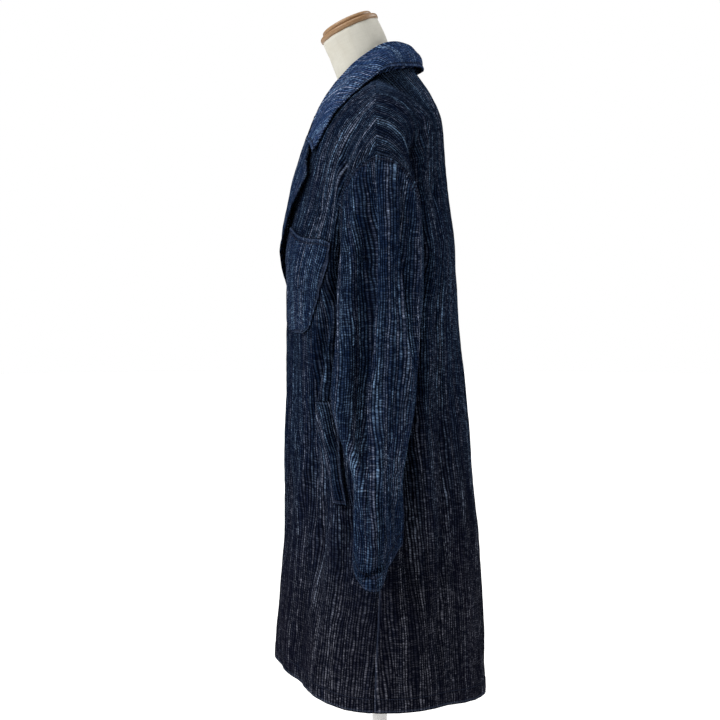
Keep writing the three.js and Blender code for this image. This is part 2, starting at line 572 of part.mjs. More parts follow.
capLower.name = "cap_lower";
const capUpper = new THREE.Mesh(turned(disc(CAP_TOP_D, 9.3, 17, 3)), new THREE.MeshStandardMaterial({ color: WOOD, roughness: 0.6 }));
capUpper.name = "cap_upper";
cap.add(capLower, capUpper);
put("base", turned(disc(BASE_D, 0, BASE_H, 5), 36), 0xd9d7d2, 0.6);
put("stem", turned([[0, BASE_H + 0.3], [STEM_D / 2, BASE_H + 0.3], [STEM_D / 2, STEM_TOP], [0, STEM_TOP]], 24), 0xd9d7d2, 0.6);

export { frontLeft, backPanel, sleevePoint, collarPoint, lapelPoint };
export default root;
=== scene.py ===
# A long kasuri coat with a notched collar on its limbless dress form, built round
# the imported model. Tables are in millimetres, in the model's frame: +X is the
# wearer's left, -Y the front, +Z up; make() turns them into metres.
import math

import bpy
import numpy as np
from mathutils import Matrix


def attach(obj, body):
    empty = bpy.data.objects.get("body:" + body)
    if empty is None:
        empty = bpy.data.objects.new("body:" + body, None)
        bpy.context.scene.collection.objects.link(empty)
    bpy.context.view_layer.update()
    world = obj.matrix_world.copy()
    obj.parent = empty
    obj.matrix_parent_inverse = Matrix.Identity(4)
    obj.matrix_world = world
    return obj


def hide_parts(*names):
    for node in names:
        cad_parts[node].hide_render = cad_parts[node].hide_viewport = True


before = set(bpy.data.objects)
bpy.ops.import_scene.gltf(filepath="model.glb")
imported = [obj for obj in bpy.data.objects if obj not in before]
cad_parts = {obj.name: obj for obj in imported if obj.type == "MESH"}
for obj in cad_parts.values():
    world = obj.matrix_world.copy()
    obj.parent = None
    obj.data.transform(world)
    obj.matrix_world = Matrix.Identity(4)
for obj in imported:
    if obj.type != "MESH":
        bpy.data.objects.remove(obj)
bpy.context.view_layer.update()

# ------------------------------------------------------------------ the cut, in mm
DOUBLE, GAP, OVERLAP, OVER, UNDER = 2.4, 0.3, 26, 2.4, 10
UNDERARM_Z, HOLLOW, SPLIT, CAP_END, CAP_SHARE, WELT_LIFT = 985, 16, 0.56, 930, 0.45, 7
BODY = [
    dict(z=360, half=228, front=-168, side=-14, back=173, square=2.3),
    dict(z=440, half=226, front=-167, side=-12, back=170, square=2.3),
    dict(z=520, half=223, front=-160, side=-8, back=165.5, square=2.3),
    dict(z=620, half=219, front=-153, side=-4, back=159, square=2.3),
    dict(z=720, half=215, front=-152.5, side=0, back=150, square=2.3),
    dict(z=855, half=211, front=-150, side=3, back=136, square=2.35),
    dict(z=970, half=210, front=-150, side=5, back=127, square=2.4),
    dict(z=1022, half=210, front=-148, side=6, back=123, square=2.4),
]
HEM = [
    dict(y=-175, z=424),
    dict(y=-158, z=415),
    dict(y=-135, z=408),
    dict(y=-105, z=396),
    dict(y=-75, z=387),
    dict(y=-30, z=380),
    dict(y=90, z=378),
    dict(y=130, z=373),
    dict(y=178, z=362),
]
FRONT_EDGE = [
    dict(level=0.0, x=-26, y=-149, z=985),
    dict(level=0.12, x=-22, y=-146, z=1022),
    dict(level=0.22, x=-4, y=-146.5, z=1062),
    dict(level=0.34, x=12, y=-147, z=1106),
    dict(level=0.46, x=26, y=-140, z=1150),
    dict(level=0.6, x=39, y=-132, z=1198),
    dict(level=0.74, x=50, y=-115, z=1248),
    dict(level=0.86, x=57, y=-88, z=1296),
    dict(level=0.94, x=65, y=-50, z=1334),
    dict(level=1.0, x=71, y=-9, z=1360),
]
ARM_FRONT = [
    dict(level=0.0, x=211, y=6, z=985),
    dict(level=0.12, x=211, y=-26, z=1000),
    dict(level=0.24, x=214, y=-45, z=1030),
    dict(level=0.4, x=219, y=-56, z=1080),
    dict(level=0.56, x=226, y=-60, z=1128),
    dict(level=0.7, x=234, y=-56, z=1166),
    dict(level=0.82, x=241, y=-42, z=1192),
    dict(level=0.92, x=246, y=-24, z=1208),
    dict(level=1.0, x=248, y=-9, z=1216),
]
BACK_EDGE = [
    dict(level=0.0, x=0, y=125, z=985),
    dict(level=0.2, x=0, y=119, z=1080),
    dict(level=0.4, x=0, y=109, z=1175),
    dict(level=0.6, x=0, y=102.5, z=1255),
    dict(level=0.74, x=0, y=99, z=1300),
    dict(level=0.86, x=0, y=84, z=1336),
    dict(level=0.94, x=0, y=67, z=1362),
    dict(level=1.0, x=0, y=55, z=1380),
]
ARM_BACK = [
    dict(level=0.0, x=211, y=6, z=985),
    dict(level=0.12, x=211, y=34, z=1000),
    dict(level=0.26, x=215, y=50, z=1036),
    dict(level=0.42, x=221, y=56, z=1086),
    dict(level=0.58, x=228, y=54, z=1134),
    dict(level=0.72, x=235, y=48, z=1168),
    dict(level=0.84, x=242, y=34, z=1194),
    dict(level=0.93, x=246, y=14, z=1210),
    dict(level=1.0, x=248, y=-9, z=1216),
]
SHOULDER = [
    dict(along=0.0, x=71, y=-9, z=1360),
    dict(along=0.16, x=102, y=-9, z=1350),
    dict(along=0.32, x=134, y=-9, z=1338),
    dict(along=0.48, x=164, y=-9, z=1322),
    dict(along=0.62, x=190, y=-9, z=1301),
    dict(along=0.76, x=213, y=-9, z=1273),
    dict(along=0.9, x=235, y=-9, z=1240),
    dict(along=1.0, x=248, y=-9, z=1216),
]
NECK_BACK = [
    dict(along=0.0, x=0, y=55, z=1380),
    dict(along=0.4, x=30, y=48, z=1378),
    dict(along=0.75, x=57, y=22, z=1370),
    dict(along=1.0, x=71, y=-9, z=1360),
]
SLEEVE = [
    dict(z=1010, front=-69, back=58, inner=214, outer=297),
    dict(z=930, front=-71, back=51, inner=216, outer=300),
    dict(z=850, front=-73, back=45, inner=219, outer=301),
    dict(z=800, front=-60, back=37, inner=221, outer=300),
    dict(z=745, front=-44, back=28, inner=224, outer=299),
    dict(z=680, front=-42, back=29, inner=226, outer=299),
    dict(z=620, front=-43, back=28, inner=228, outer=300),
    dict(z=560, front=-43, back=26, inner=228, outer=300),
]
CUFF = [
    dict(round=0.0, z=618),
    dict(round=0.15, z=610),
    dict(round=0.27, z=614),
    dict(round=0.34, z=600),
    dict(round=0.4, z=588),
    dict(round=0.46, z=582),
    dict(round=0.52, z=585),
    dict(round=0.57, z=616),
    dict(round=0.64, z=638),
    dict(round=0.76, z=646),
    dict(round=0.88, z=636),
    dict(round=1.0, z=618),
]
SLEEVE_FOLDS = [
    dict(top=1190, round=0.462, bottom=730, end=0.434, width=0.042, deep=17),
    dict(top=1180, round=0.572, bottom=930, end=0.668, width=0.036, deep=9),
    dict(top=1000, round=0.14, bottom=640, end=0.16, width=0.06, deep=8),
    dict(top=830, round=0.56, bottom=600, end=0.5, width=0.045, deep=8),
    dict(top=1120, round=0.86, bottom=700, end=0.84, width=0.05, deep=7),
]
BODY_FOLDS = [
    dict(top=960, round=0.3, bottom=430, end=0.26, width=0.05, deep=6),
    dict(top=900, round=0.14, bottom=400, end=0.1, width=0.05, deep=-4),
    dict(top=980, round=0.66, bottom=400, end=0.69, width=0.06, deep=7),
    dict(top=1000, round=0.84, bottom=380, end=0.86, width=0.05, deep=-5),
]
COLLAR = [
    dict(along=0.0, sx=0, sy=54, sz=1383, fx=0, fy=54, fz=1411, ex=0, ey=70, ez=1380),
    dict(along=0.1, sx=27, sy=48, sz=1382, fx=26, fy=48, fz=1414, ex=38, ey=60, ez=1379),
    dict(along=0.2, sx=50, sy=29, sz=1376, fx=46, fy=33, fz=1416, ex=70, ey=41, ez=1374),
    dict(along=0.29, sx=62, sy=12, sz=1370, fx=56, fy=17, fz=1415, ex=95, ey=21, ez=1369),
    dict(along=0.38, sx=69, sy=-8, sz=1365, fx=62, fy=-2, fz=1409, ex=113, ey=3, ez=1361),
    dict(along=0.48, sx=68, sy=-28, sz=1353, fx=66, fy=-23, fz=1395, ex=122, ey=-16, ez=1347),
    dict(along=0.58, sx=64, sy=-48, sz=1338, fx=67, fy=-42, fz=1380, ex=130, ey=-37, ez=1328),
    dict(along=0.68, sx=60, sy=-66, sz=1321, fx=65, fy=-60, fz=1362, ex=136, ey=-58, ez=1305),
    dict(along=0.78, sx=55, sy=-84, sz=1301, fx=61, fy=-77, fz=1343, ex=137, ey=-72, ez=1287),
    dict(along=0.88, sx=51, sy=-100, sz=1280, fx=57, fy=-97, fz=1312, ex=133, ey=-87, ez=1264),
    dict(along=1.0, sx=47, sy=-116, sz=1254, fx=52, fy=-119, fz=1262, ex=119, ey=-105, ez=1233),
]
LAPEL = [
    dict(along=0.0, fold=1247, ex=118, ey=-110, ez=1220, bow=5),
    dict(along=0.13, fold=1214, ex=123, ey=-111, ez=1199, bow=6),
    dict(along=0.26, fold=1186, ex=112, ey=-122, ez=1176, bow=6),
    dict(along=0.4, fold=1154, ex=92, ey=-138, ez=1150, bow=6),
    dict(along=0.55, fold=1120, ex=76, ey=-148, ez=1117, bow=5),
    dict(along=0.7, fold=1086, ex=50, ey=-155, ez=1086, bow=3),
    dict(along=0.85, fold=1054, ex=24, ey=-154, ez=1054, bow=1),
    dict(along=1.0, fold=1026, ex=-6, ey=-148, ez=1026, bow=0),
]
CHEST_POCKET = [
    dict(up=0.0, left=0.4, right=0.55, v=0.528),
    dict(up=0.06, left=0.33, right=0.6, v=0.537),
    dict(up=0.16, left=0.295, right=0.63, v=0.556),
    dict(up=0.38, left=0.28, right=0.69, v=0.6),
    dict(up=0.62, left=0.275, right=0.765, v=0.65),
    dict(up=0.82, left=0.27, right=0.825, v=0.692),
    dict(up=1.0, left=0.27, right=0.85, v=0.73),
]
WELT = [
    dict(up=0.0, left=0.745, right=0.815, v=0.288),
    dict(up=0.25, left=0.712, right=0.785, v=0.322),
    dict(up=0.5, left=0.68, right=0.76, v=0.358),
    dict(up=0.75, left=0.645, right=0.74, v=0.395),
    dict(up=1.0, left=0.61, right=0.72, v=0.432),
]
FORM = [
    dict(y=0, z=622, half=150, front=92, back=92, tilt=0),
    dict(y=0, z=640, half=160, front=100, back=100, tilt=0),
    dict(y=0, z=720, half=168, front=108, back=112, tilt=0),
    dict(y=0, z=820, half=152, front=98, back=92, tilt=0),
    dict(y=0, z=910, half=130, front=86, back=76, tilt=0),
    dict(y=0, z=1000, half=143, front=100, back=84, tilt=0),
    dict(y=0, z=1080, half=158, front=114, back=92, tilt=0),
    dict(y=0, z=1170, half=172, front=104, back=92, tilt=0),
    dict(y=0, z=1230, half=183, front=84, back=80, tilt=0),
    dict(y=-2, z=1262, half=185, front=66, back=66, tilt=0),
    dict(y=-4, z=1284, half=177, front=55, back=56, tilt=0),
    dict(y=-6, z=1304, half=154, front=48, back=49, tilt=0),
    dict(y=-8, z=1323, half=116, front=44, back=43, tilt=3),
    dict(y=-12, z=1341, half=71, front=43, back=41, tilt=8),
    dict(y=-17, z=1362, half=55, front=47, back=45, tilt=15),
    dict(y=-25, z=1386, half=52, front=49.5, back=49, tilt=22),
    dict(y=-36, z=1415, half=50, front=49.5, back=49.5, tilt=25),
    dict(y=-49, z=1443, half=49.5, front=49.5, back=49.5, tilt=25),
]


# ------------------------------------------------------------------ curves
def read(table, key, column, at):
    """A smooth curve through one column of a table, against its key column."""
    k = np.array([r[key] for r in table], float)
    c = np.array([r[column] for r in table], float)
    n = len(k)
    a, b = np.maximum(0, np.arange(n) - 1), np.minimum(n - 1, np.arange(n) + 1)
    slope = (c[b] - c[a]) / (k[b] - k[a])
    x = np.clip(np.asarray(at, float), k[0], k[-1])
    i = np.clip(np.searchsorted(k, x, side="right") - 1, 0, n - 2)
    h = k[i + 1] - k[i]
    t = (x - k[i]) / h
    return (
        c[i] * (1 + 2 * t) * (1 - t) ** 2 + slope[i] * h * t * (1 - t) ** 2
        + c[i + 1] * t * t * (3 - 2 * t) - slope[i + 1] * h * t * t * (1 - t)
    )


def point(table, key, at, names=("x", "y", "z")):
    return np.stack([read(table, key, c, at) for c in names], -1)


def ease(a, b, t):
    k = np.clip((np.asarray(t, float) - a) / (b - a), 0, 1)
    return k * k * (3 - 2 * k)


def unit(a):
    return a / np.maximum(np.linalg.norm(a, axis=-1, keepdims=True), 1e-9)


def bell(x):
    return np.exp(-np.asarray(x) ** 2)


def vec(x, y, z):
    x, y, z = np.broadcast_arrays(x, y, z)
    return np.stack([x, y, z], -1).astype(float)


def noise(x, y, seed):
    """Smooth noise from -1 to 1 on a lattice of step 1."""
    table = np.random.RandomState(seed).rand(97, 89) * 2 - 1
    x, y = np.broadcast_arrays(np.asarray(x, float), np.asarray(y, float))
    i, j = np.floor(x).astype(int), np.floor(y).astype(int)
    fx, fy = x - i, y - j
    fx, fy = fx * fx * (3 - 2 * fx), fy * fy * (3 - 2 * fy)
    at = lambda a, b: table[a % 97, b % 89]
    return (at(i, j) * (1 - fx) + at(i + 1, j) * fx) * (1 - fy) + (
        at(i, j + 1) * (1 - fx) + at(i + 1, j + 1) * fx) * fy


def folds(table, across, z, wrap=False):
    """Soft troughs (ridges where deep is negative), each from a top to a bottom height."""
    d = np.zeros(np.broadcast(across, z).shape)
    for f in table:
        t = (f["top"] - z) / (f["top"] - f["bottom"])
        centre = f["round"] + (f["end"] - f["round"]) * t
        k = across - centre
        if wrap:
            k = (k + 0.5) % 1 - 0.5
        d += f["deep"] * bell(k / f["width"]) * ease(0, 0.25, t) * (
            1 if f["bottom"] < 500 else 1 - ease(0.85, 1.15, t)) * (t > 0) * (t < 1.15)
    return d


def creases(table, across, z, wrap=False):
    """Finer creases: a line from one point to another that wanders and fades at its ends."""
    d = np.zeros(np.broadcast(across, z).shape)
    for i, (a0, z0, a1, z1, width, deep) in enumerate(table):
        t = (z0 - z) / (z0 - z1)
        wander = 0.35 * width * np.sin(5.1 * t + 2.3 * i)
        k = across - (a0 + (a1 - a0) * t + wander)
        if wrap:
            k = (k + 0.5) % 1 - 0.5
        side = np.where(k > 0, 1.0, 0.62 + 0.3 * math.sin(i * 2.1))  # one wall is steeper
        fade = ease(0, 0.22, t) * (1 - ease(0.72, 1, t))
        d += deep * bell(k / (width * side)) * fade * (t > 0) * (t < 1)
    return d


def valleys(paths, across, z, wrap=False):
    """Deep folds: each a path of (height, across, width, depth), from its top down. The
    wall on the lean side is steeper."""
    d = np.zeros(np.broadcast(across, z).shape)
    for lean, rows in paths:
        h, a, w, k = (np.array(c, float)[::-1] for c in zip(*rows))
        x = across - np.interp(z, h, a)
        if wrap:
            x = (x + 0.5) % 1 - 0.5
        wide = np.interp(z, h, w) * np.where(x > 0, 1 - lean, 1 + lean)
        d += np.interp(z, h, k) * bell(x / wide) * (z > h[0]) * (z < h[-1])
    return d


# ------------------------------------------------------------------ the coat body
ANGLES = -np.pi / 2 + np.pi * np.arange(121) / 120


def section(z):
    r = {c: read(BODY, "z", c, z)[:, None] for c in ("half", "front", "side", "back", "square")}
    c = np.abs(np.cos(ANGLES))[None] ** (2 / r["square"])
    s = np.abs(np.sin(ANGLES))[None] ** (2 / r["square"])
    x = r["half"] * c
    y = np.where(ANGLES < 0, r["side"] - (r["side"] - r["front"]) * s, r["side"] + (r["back"] - r["side"]) * s)
    run = np.concatenate([np.zeros((len(x), 1)), np.cumsum(np.hypot(np.diff(x), np.diff(y)), 1)], 1)
    return x, y, run


def on_section(s, d):
    x, y, run = s
    e = np.minimum(np.abs(d), run[:, -1] - 1e-6)
    k = np.clip((run[:, 1:] < e[:, None]).sum(1) + 1, 1, 120)
    r = np.arange(len(k))
    t = (e - run[r, k - 1]) / (run[r, k] - run[r, k - 1])
    px = x[r, k - 1] + (x[r, k] - x[r, k - 1]) * t
    py = y[r, k - 1] + (y[r, k] - y[r, k - 1]) * t
    return np.stack([np.where(d < 0, -px, px), py], -1)


def front_round(s, t):
    side = s[2][:, 60]
    return -OVERLAP + (side + OVERLAP - GAP / 2) * t


def back_round(s, t):
    side, whole = s[2][:, 60], s[2][:, 120]
    return whole - (whole - side - GAP / 2) * t


def lower(t, w, panel):
    z = 400 + (UNDERARM_Z - 400) * w
    s = section(z)
    for _ in range(3):
        p = on_section(s, panel(s, t))
        hem = read(HEM, "y", "z", p[:, 1])
        z = hem + (UNDERARM_Z - hem) * w
        s = section(z)
    d = panel(s, t)
    f = folds(BODY_FOLDS, d / s[2][:, 120], z) * (1 - ease(0.85, 1, w))
    p, q, o = on_section(s, d), on_section(s, d + 2), on_section(s, d - 2)
    n = unit(np.stack([-(o[:, 1] - q[:, 1]), o[:, 0] - q[:, 0]], -1))
    return vec(p[:, 0] - n[:, 0] * f, p[:, 1] - n[:, 1] * f, z)


def patch(b, c, l, l0, l1, e, e0, e1, t, w, share, arch):
    turn = lambda i: (l[:, i] - l0[:, i]) / (l1[:, i] - l0[:, i])
    deep = np.maximum(1, np.abs((b[:, 1] - c[:, 1]) / (l0[:, 1] - l1[:, 1]))) ** 0.85
    full = arch * ease(0.2, 0.7, t)
    late = 1 + (deep * (1 + 0.5 * full) - 1) * full if arch > 0 else deep
    swell = 0.058 * full * np.sin(np.pi * np.clip((w - 0.42) / 0.58, 0, 1) ** 1.3)
    near = vec(
        b[:, 0] + (c[:, 0] - b[:, 0]) * w + (l[:, 0] - l0[:, 0] * (1 - w) - l1[:, 0] * w) * (1 - t),
        b[:, 1] + (c[:, 1] - b[:, 1]) * np.clip(turn(1), 0, 1) ** late,
        b[:, 2] + (c[:, 2] - b[:, 2]) * (turn(2) + swell),
    )
    w, share = w[:, None], share[:, None]
    bow = e - (e0 * (1 - w) + e1 * w)
    return near * (1 - share) + (b * (1 - w) + c * w + bow) * share


def upper(t, w, bottom, top, start, end, share, arch):
    o, i = np.zeros_like(w), np.ones_like(w)
    return patch(bottom(t), top(t), start(w), start(o), start(i), end(w), end(o), end(i), t, w, share, arch)


def both(t, v, low, high):
    shape = np.broadcast(t, v).shape
    t, v = (np.broadcast_to(a, shape).astype(float).ravel() for a in (t, v))
    out = np.empty((len(t), 3))
    m = v <= SPLIT
    if m.any():
        out[m] = low(t[m], v[m] / SPLIT)
    if (~m).any():
        out[~m] = high(t[~m], (v[~m] - SPLIT) / (1 - SPLIT))
    return out.reshape(shape + (3,))


def front_panel(t, v):
    def high(t, w):
        p = upper(
            t, w,
            lambda k: lower(k, np.ones_like(k), front_round),
            lambda k: point(SHOULDER, "along", k) + [0, -GAP / 2, 0],
            lambda k: point(FRONT_EDGE, "level", k),
            lambda k: point(ARM_FRONT, "level", k) + [0, -GAP / 2, 0],
            t ** 1.6, 0,
        )
        p[:, 1] += HOLLOW * np.sin(np.pi * t) * np.sin(np.pi * ease(0.2, 1, w))
        return p
    return both(t, v, lambda t, w: lower(t, w, front_round), high)


def back_panel(t, v):
    def top(k):
        neck = point(NECK_BACK, "along", np.clip(k / 0.28, 0, 1))
        return np.where((k < 0.28)[:, None], neck, point(SHOULDER, "along", (k - 0.28) / 0.72)) + [0, GAP / 2, 0]
    return both(
        t, v, lambda t, w: lower(t, w, back_round),
        lambda t, w: upper(
            t, w, lambda k: lower(k, np.ones_like(k), back_round), top,
            lambda k: point(BACK_EDGE, "level", k),
            lambda k: point(ARM_BACK, "level", k) + [0, GAP / 2, 0], t ** 2, 1),
    )


def layer(p, by):
    q = p.copy()
    q[..., 1] += by * (1 - ease(30, 95, np.abs(p[..., 0]))) * (p[..., 1] < 0) * (1 - ease(1180, 1250, p[..., 2]))
    return q


def mirror(p):
    return p * np.array([-1.0, 1.0, 1.0])


# ------------------------------------------------------------------ the sleeve
SLEEVE_UP = SLEEVE[::-1]


def sleeve_ring(r, z):
    g = {c: read(SLEEVE_UP, "z", c, z) for c in ("front", "back", "inner", "outer")}
    a = 2 * np.pi * r
    c, s = np.cos(a), np.sin(a)
    return vec(
        (g["inner"] + g["outer"]) / 2 - (g["outer"] - g["inner"]) / 2 * np.sign(c) * np.abs(c) ** (2 / 2.25),
        (g["front"] + g["back"]) / 2 - (g["back"] - g["front"]) / 2 * np.sign(s) * np.abs(s) ** (2 / 2.25),
        z,
    )


def armhole(r):
    return np.where((r <= 0.5)[..., None], point(ARM_FRONT, "level", r * 2), point(ARM_BACK, "level", (1 - r) * 2))


def sleeve_point(r, v, clear=1.0):
    """clear takes the small stand-off at the seam away, so that the two edges meet."""
    w = np.clip(v / CAP_SHARE, 0, 1)
    a, b = armhole(r), sleeve_ring(r, np.full_like(r, CAP_END))
    up, span = (1 - np.cos(2 * np.pi * r)) / 2, a[..., 2] - CAP_END
    start = vec(20 + 95 * up, -34 * np.sin(2 * np.pi * r) * (1 - 0.2 * up), -40 - 0.85 * span)
    end = vec(0, 0, -0.9 * span - 20)
    h = [(1 + 2 * w) * (1 - w) ** 2, w * (1 - w) ** 2, w * w * (3 - 2 * w), -w * w * (1 - w)]
    cap = a * h[0][..., None] + start * h[1][..., None] + b * h[2][..., None] + end * h[3][..., None]
    cap[..., 0] += (5.4 - 2.4 * up) * (1 - ease(0, 0.4, w)) * (1 - (1 - ease(0, 0.05, w)) * clear)
    k = np.clip((v - CAP_SHARE) / (1 - CAP_SHARE), 0, 1)
    tube = sleeve_ring(r, CAP_END + (read(CUFF, "round", "z", r) - CAP_END) * k)
    return np.where((v < CAP_SHARE)[..., None], cap, tube)


# ------------------------------------------------------------------ meshes
def normals(p, sign, closed=False):
    di = np.gradient(p, axis=0)
    dj = (np.roll(p, -1, 1) - np.roll(p, 1, 1)) / 2 if closed else np.gradient(p, axis=1)
    return unit(np.cross(dj, di)) * sign


def arc(p, axis):
    """Distance along each row or column of a grid, from its start."""
    step = np.linalg.norm(np.diff(p, axis=axis), axis=-1)
    zero = np.zeros_like(np.take(step, [0], axis))
    return np.concatenate([zero, np.cumsum(step, axis)], axis)


def soften(p, sigma, weight, axis=0):
    """Smooths a grid along an axis, by a weight from 0 to 1."""
    n = int(3 * sigma)
    k = np.exp(-0.5 * (np.arange(-n, n + 1) / sigma) ** 2)
    k /= k.sum()
    pad = [(0, 0)] * p.ndim
    pad[axis] = (n, n)
    # the ends carry on in a straight line, so that they stay where they are
    lo, hi = np.take(p, [0], axis), np.take(p, [-1], axis)
    q = np.pad(p, pad, mode="reflect")
    idx = [slice(None)] * p.ndim
    idx[axis] = slice(0, n)
    q[tuple(idx)] = 2 * lo - q[tuple(idx)]
    idx[axis] = slice(q.shape[axis] - n, None)
    q[tuple(idx)] = 2 * hi - q[tuple(idx)]
    out = np.apply_along_axis(lambda a: np.convolve(a, k, "valid"), axis, q)
    return p * (1 - weight) + out * weight


def mesh_of(name, verts, quads, uvs, smooth=True):
    """verts in mm; quads are vertex numbers, -1 in the last place for a triangle; uvs is {map: (face, corner) values in mm}."""
    me = bpy.data.meshes.new(name)
    faces = [tuple(int(a) for a in q if a >= 0) for q in quads]
    me.from_pydata((np.asarray(verts) / 1000).tolist(), [], faces)
    keep = np.asarray(quads).ravel() >= 0
    for key, uv in uvs.items():
        lay = me.uv_layers.new(name=key)
        lay.data.foreach_set("uv", (np.asarray(uv, np.float32).reshape(-1, 2)[keep] / 1000).ravel())
    me.polygons.foreach_set("use_smooth", [smooth] * len(me.polygons))
    me.update()
    ob = bpy.data.objects.new(name, me)
    bpy.context.scene.collection.objects.link(ob)
    return ob


def cloth(name, p, thick, warp, edge, sign=1, closed=False):
    """A sheet with two faces and a rounded edge. p is the outer face, a grid of points;
    warp holds the distance across and along the threads, and edge the distance from
    the nearest side and from the hem, for each point (one more column if closed)."""
    n, m = p.shape[:2]
    nor = normals(p, sign, closed)
    thick = np.broadcast_to(np.asarray(thick, float), (n, m))[..., None]
    inner = p - nor * thick
    verts = [p.reshape(-1, 3), inner.reshape(-1, 3)]
    mc = m if closed else m - 1
    cols = m + 1 if closed else m
    uvw, uve = warp.reshape(-1, 2), edge.reshape(-1, 2)
    I, J = np.meshgrid(np.arange(n - 1), np.arange(mc), indexing="ij")
    I, J = I.ravel(), J.ravel()
    vid = lambda i, j, off=0: off + i * m + j % m
    uid = lambda i, j: i * cols + j
    order = [(0, 0), (0, 1), (1, 1), (1, 0)]
    if sign < 0:
        order = order[::-1]
    q = [np.stack([vid(I + a, J + b) for a, b in order], 1), np.stack([vid(I + a, J + b, n * m) for a, b in order[::-1]], 1)]
    u = [np.stack([uid(I + a, J + b) for a, b in order], 1), np.stack([uid(I + a, J + b) for a, b in order[::-1]], 1)]
    base = 2 * n * m

    def rim(ij, out):
        """ij: the boundary's grid places in order; out: the direction out of the sheet there."""
        nonlocal base
        a = np.array(ij)
        i, j = a[:, 0], a[:, 1]
        o, k = p[i, j % m], inner[i, j % m]
        mid = (o + k) / 2 + out * thick[i, j % m] * 0.42
        verts.append(mid[:-1])  # the last place is the first again
        r = np.arange(len(ij) - 1)
        A, B = vid(i[:-1], j[:-1]), vid(i[1:], j[1:])
        C, D = A + n * m, B + n * m
        M, N = base + r, base + (r + 1) % len(r)
        ua, ub = uid(i[:-1], j[:-1]), uid(i[1:], j[1:])
        for f in ([A, M, N, B], [M, C, D, N]):
            g = np.stack(f if sign > 0 else f[::-1], 1)
            q.append(g)
            h = [ua, ua, ub, ub]
            u.append(np.stack(h if sign > 0 else h[::-1], 1))
        base += len(r)

    if closed:
        top = [(0, j) for j in range(m + 1)]
        bot = [(n - 1, j) for j in range(m, -1, -1)]
        jt = np.array([j % m for _, j in top])
        rim(top, unit(p[0, jt] - p[1, jt]))
        jb = np.array([j % m for _, j in bot])
        rim(bot, unit(p[-1, jb] - p[-2, jb]))
    else:
        loop = [(0, j) for j in range(m)] + [(i, m - 1) for i in range(1, n)] + [(n - 1, j) for j in range(m - 2, -1, -1)] + [(i, 0) for i in range(n - 2, -1, -1)]
        a = np.array(loop)
        i, j = a[:, 0], a[:, 1]
        ii, jj = np.clip(i, 1, n - 2), np.clip(j, 1, m - 2)
        rim(loop, unit(p[i, j] - p[ii, jj]))
    q, u = np.concatenate(q), np.concatenate(u)
    return mesh_of(name, np.concatenate(verts), q, {"warp": uvw[u], "edge": uve[u]})


def turned(name, profile, sides=96, place=None):
    """A turned solid: profile is (radius, height) from the axis to the axis."""
    prof = np.array(profile, float)
    ang = 2 * np.pi * np.arange(sides) / sides
    n = len(prof)
    verts = vec(prof[1:-1, 0, None] * np.cos(ang), prof[1:-1, 0, None] * np.sin(ang), prof[1:-1, 1, None] + 0 * ang).reshape(-1, 3)
    ends = np.array([[0, 0, prof[0, 1]], [0, 0, prof[-1, 1]]])
    verts = np.concatenate([verts, ends])
    I, J = np.meshgrid(np.arange(n - 3), np.arange(sides), indexing="ij")
    I, J = I.ravel(), J.ravel()
    K = (J + 1) % sides
    q = np.stack([I * sides + J, I * sides + K, (I + 1) * sides + K, (I + 1) * sides + J], 1)
    j = np.arange(sides)
    k = (j + 1) % sides
    a, b = len(verts) - 2, len(verts) - 1
    caps = np.concatenate([np.stack([k, j, a + 0 * j, -1 + 0 * j], 1), np.stack([(n - 3) * sides + j, (n - 3) * sides + k, b + 0 * j, -1 + 0 * j], 1)])
    q = np.concatenate([q, caps])
    run = np.concatenate([[0], np.cumsum(np.hypot(np.diff(prof[:, 0]), np.diff(prof[:, 1])))])
    big = prof[:, 0].max()
    uv = np.zeros((len(q), 4, 2))
    uv[: len(I), :, 0] = np.stack([J, J + 1, J + 1, J], 1) * 2 * np.pi / sides * big
    uv[: len(I), :, 1] = np.stack([run[I + 1], run[I + 1], run[I + 2], run[I + 2]], 1)
    if place is not None:
        verts = verts @ place[0].T + place[1]
    return mesh_of(name, verts, q, {"warp": uv})


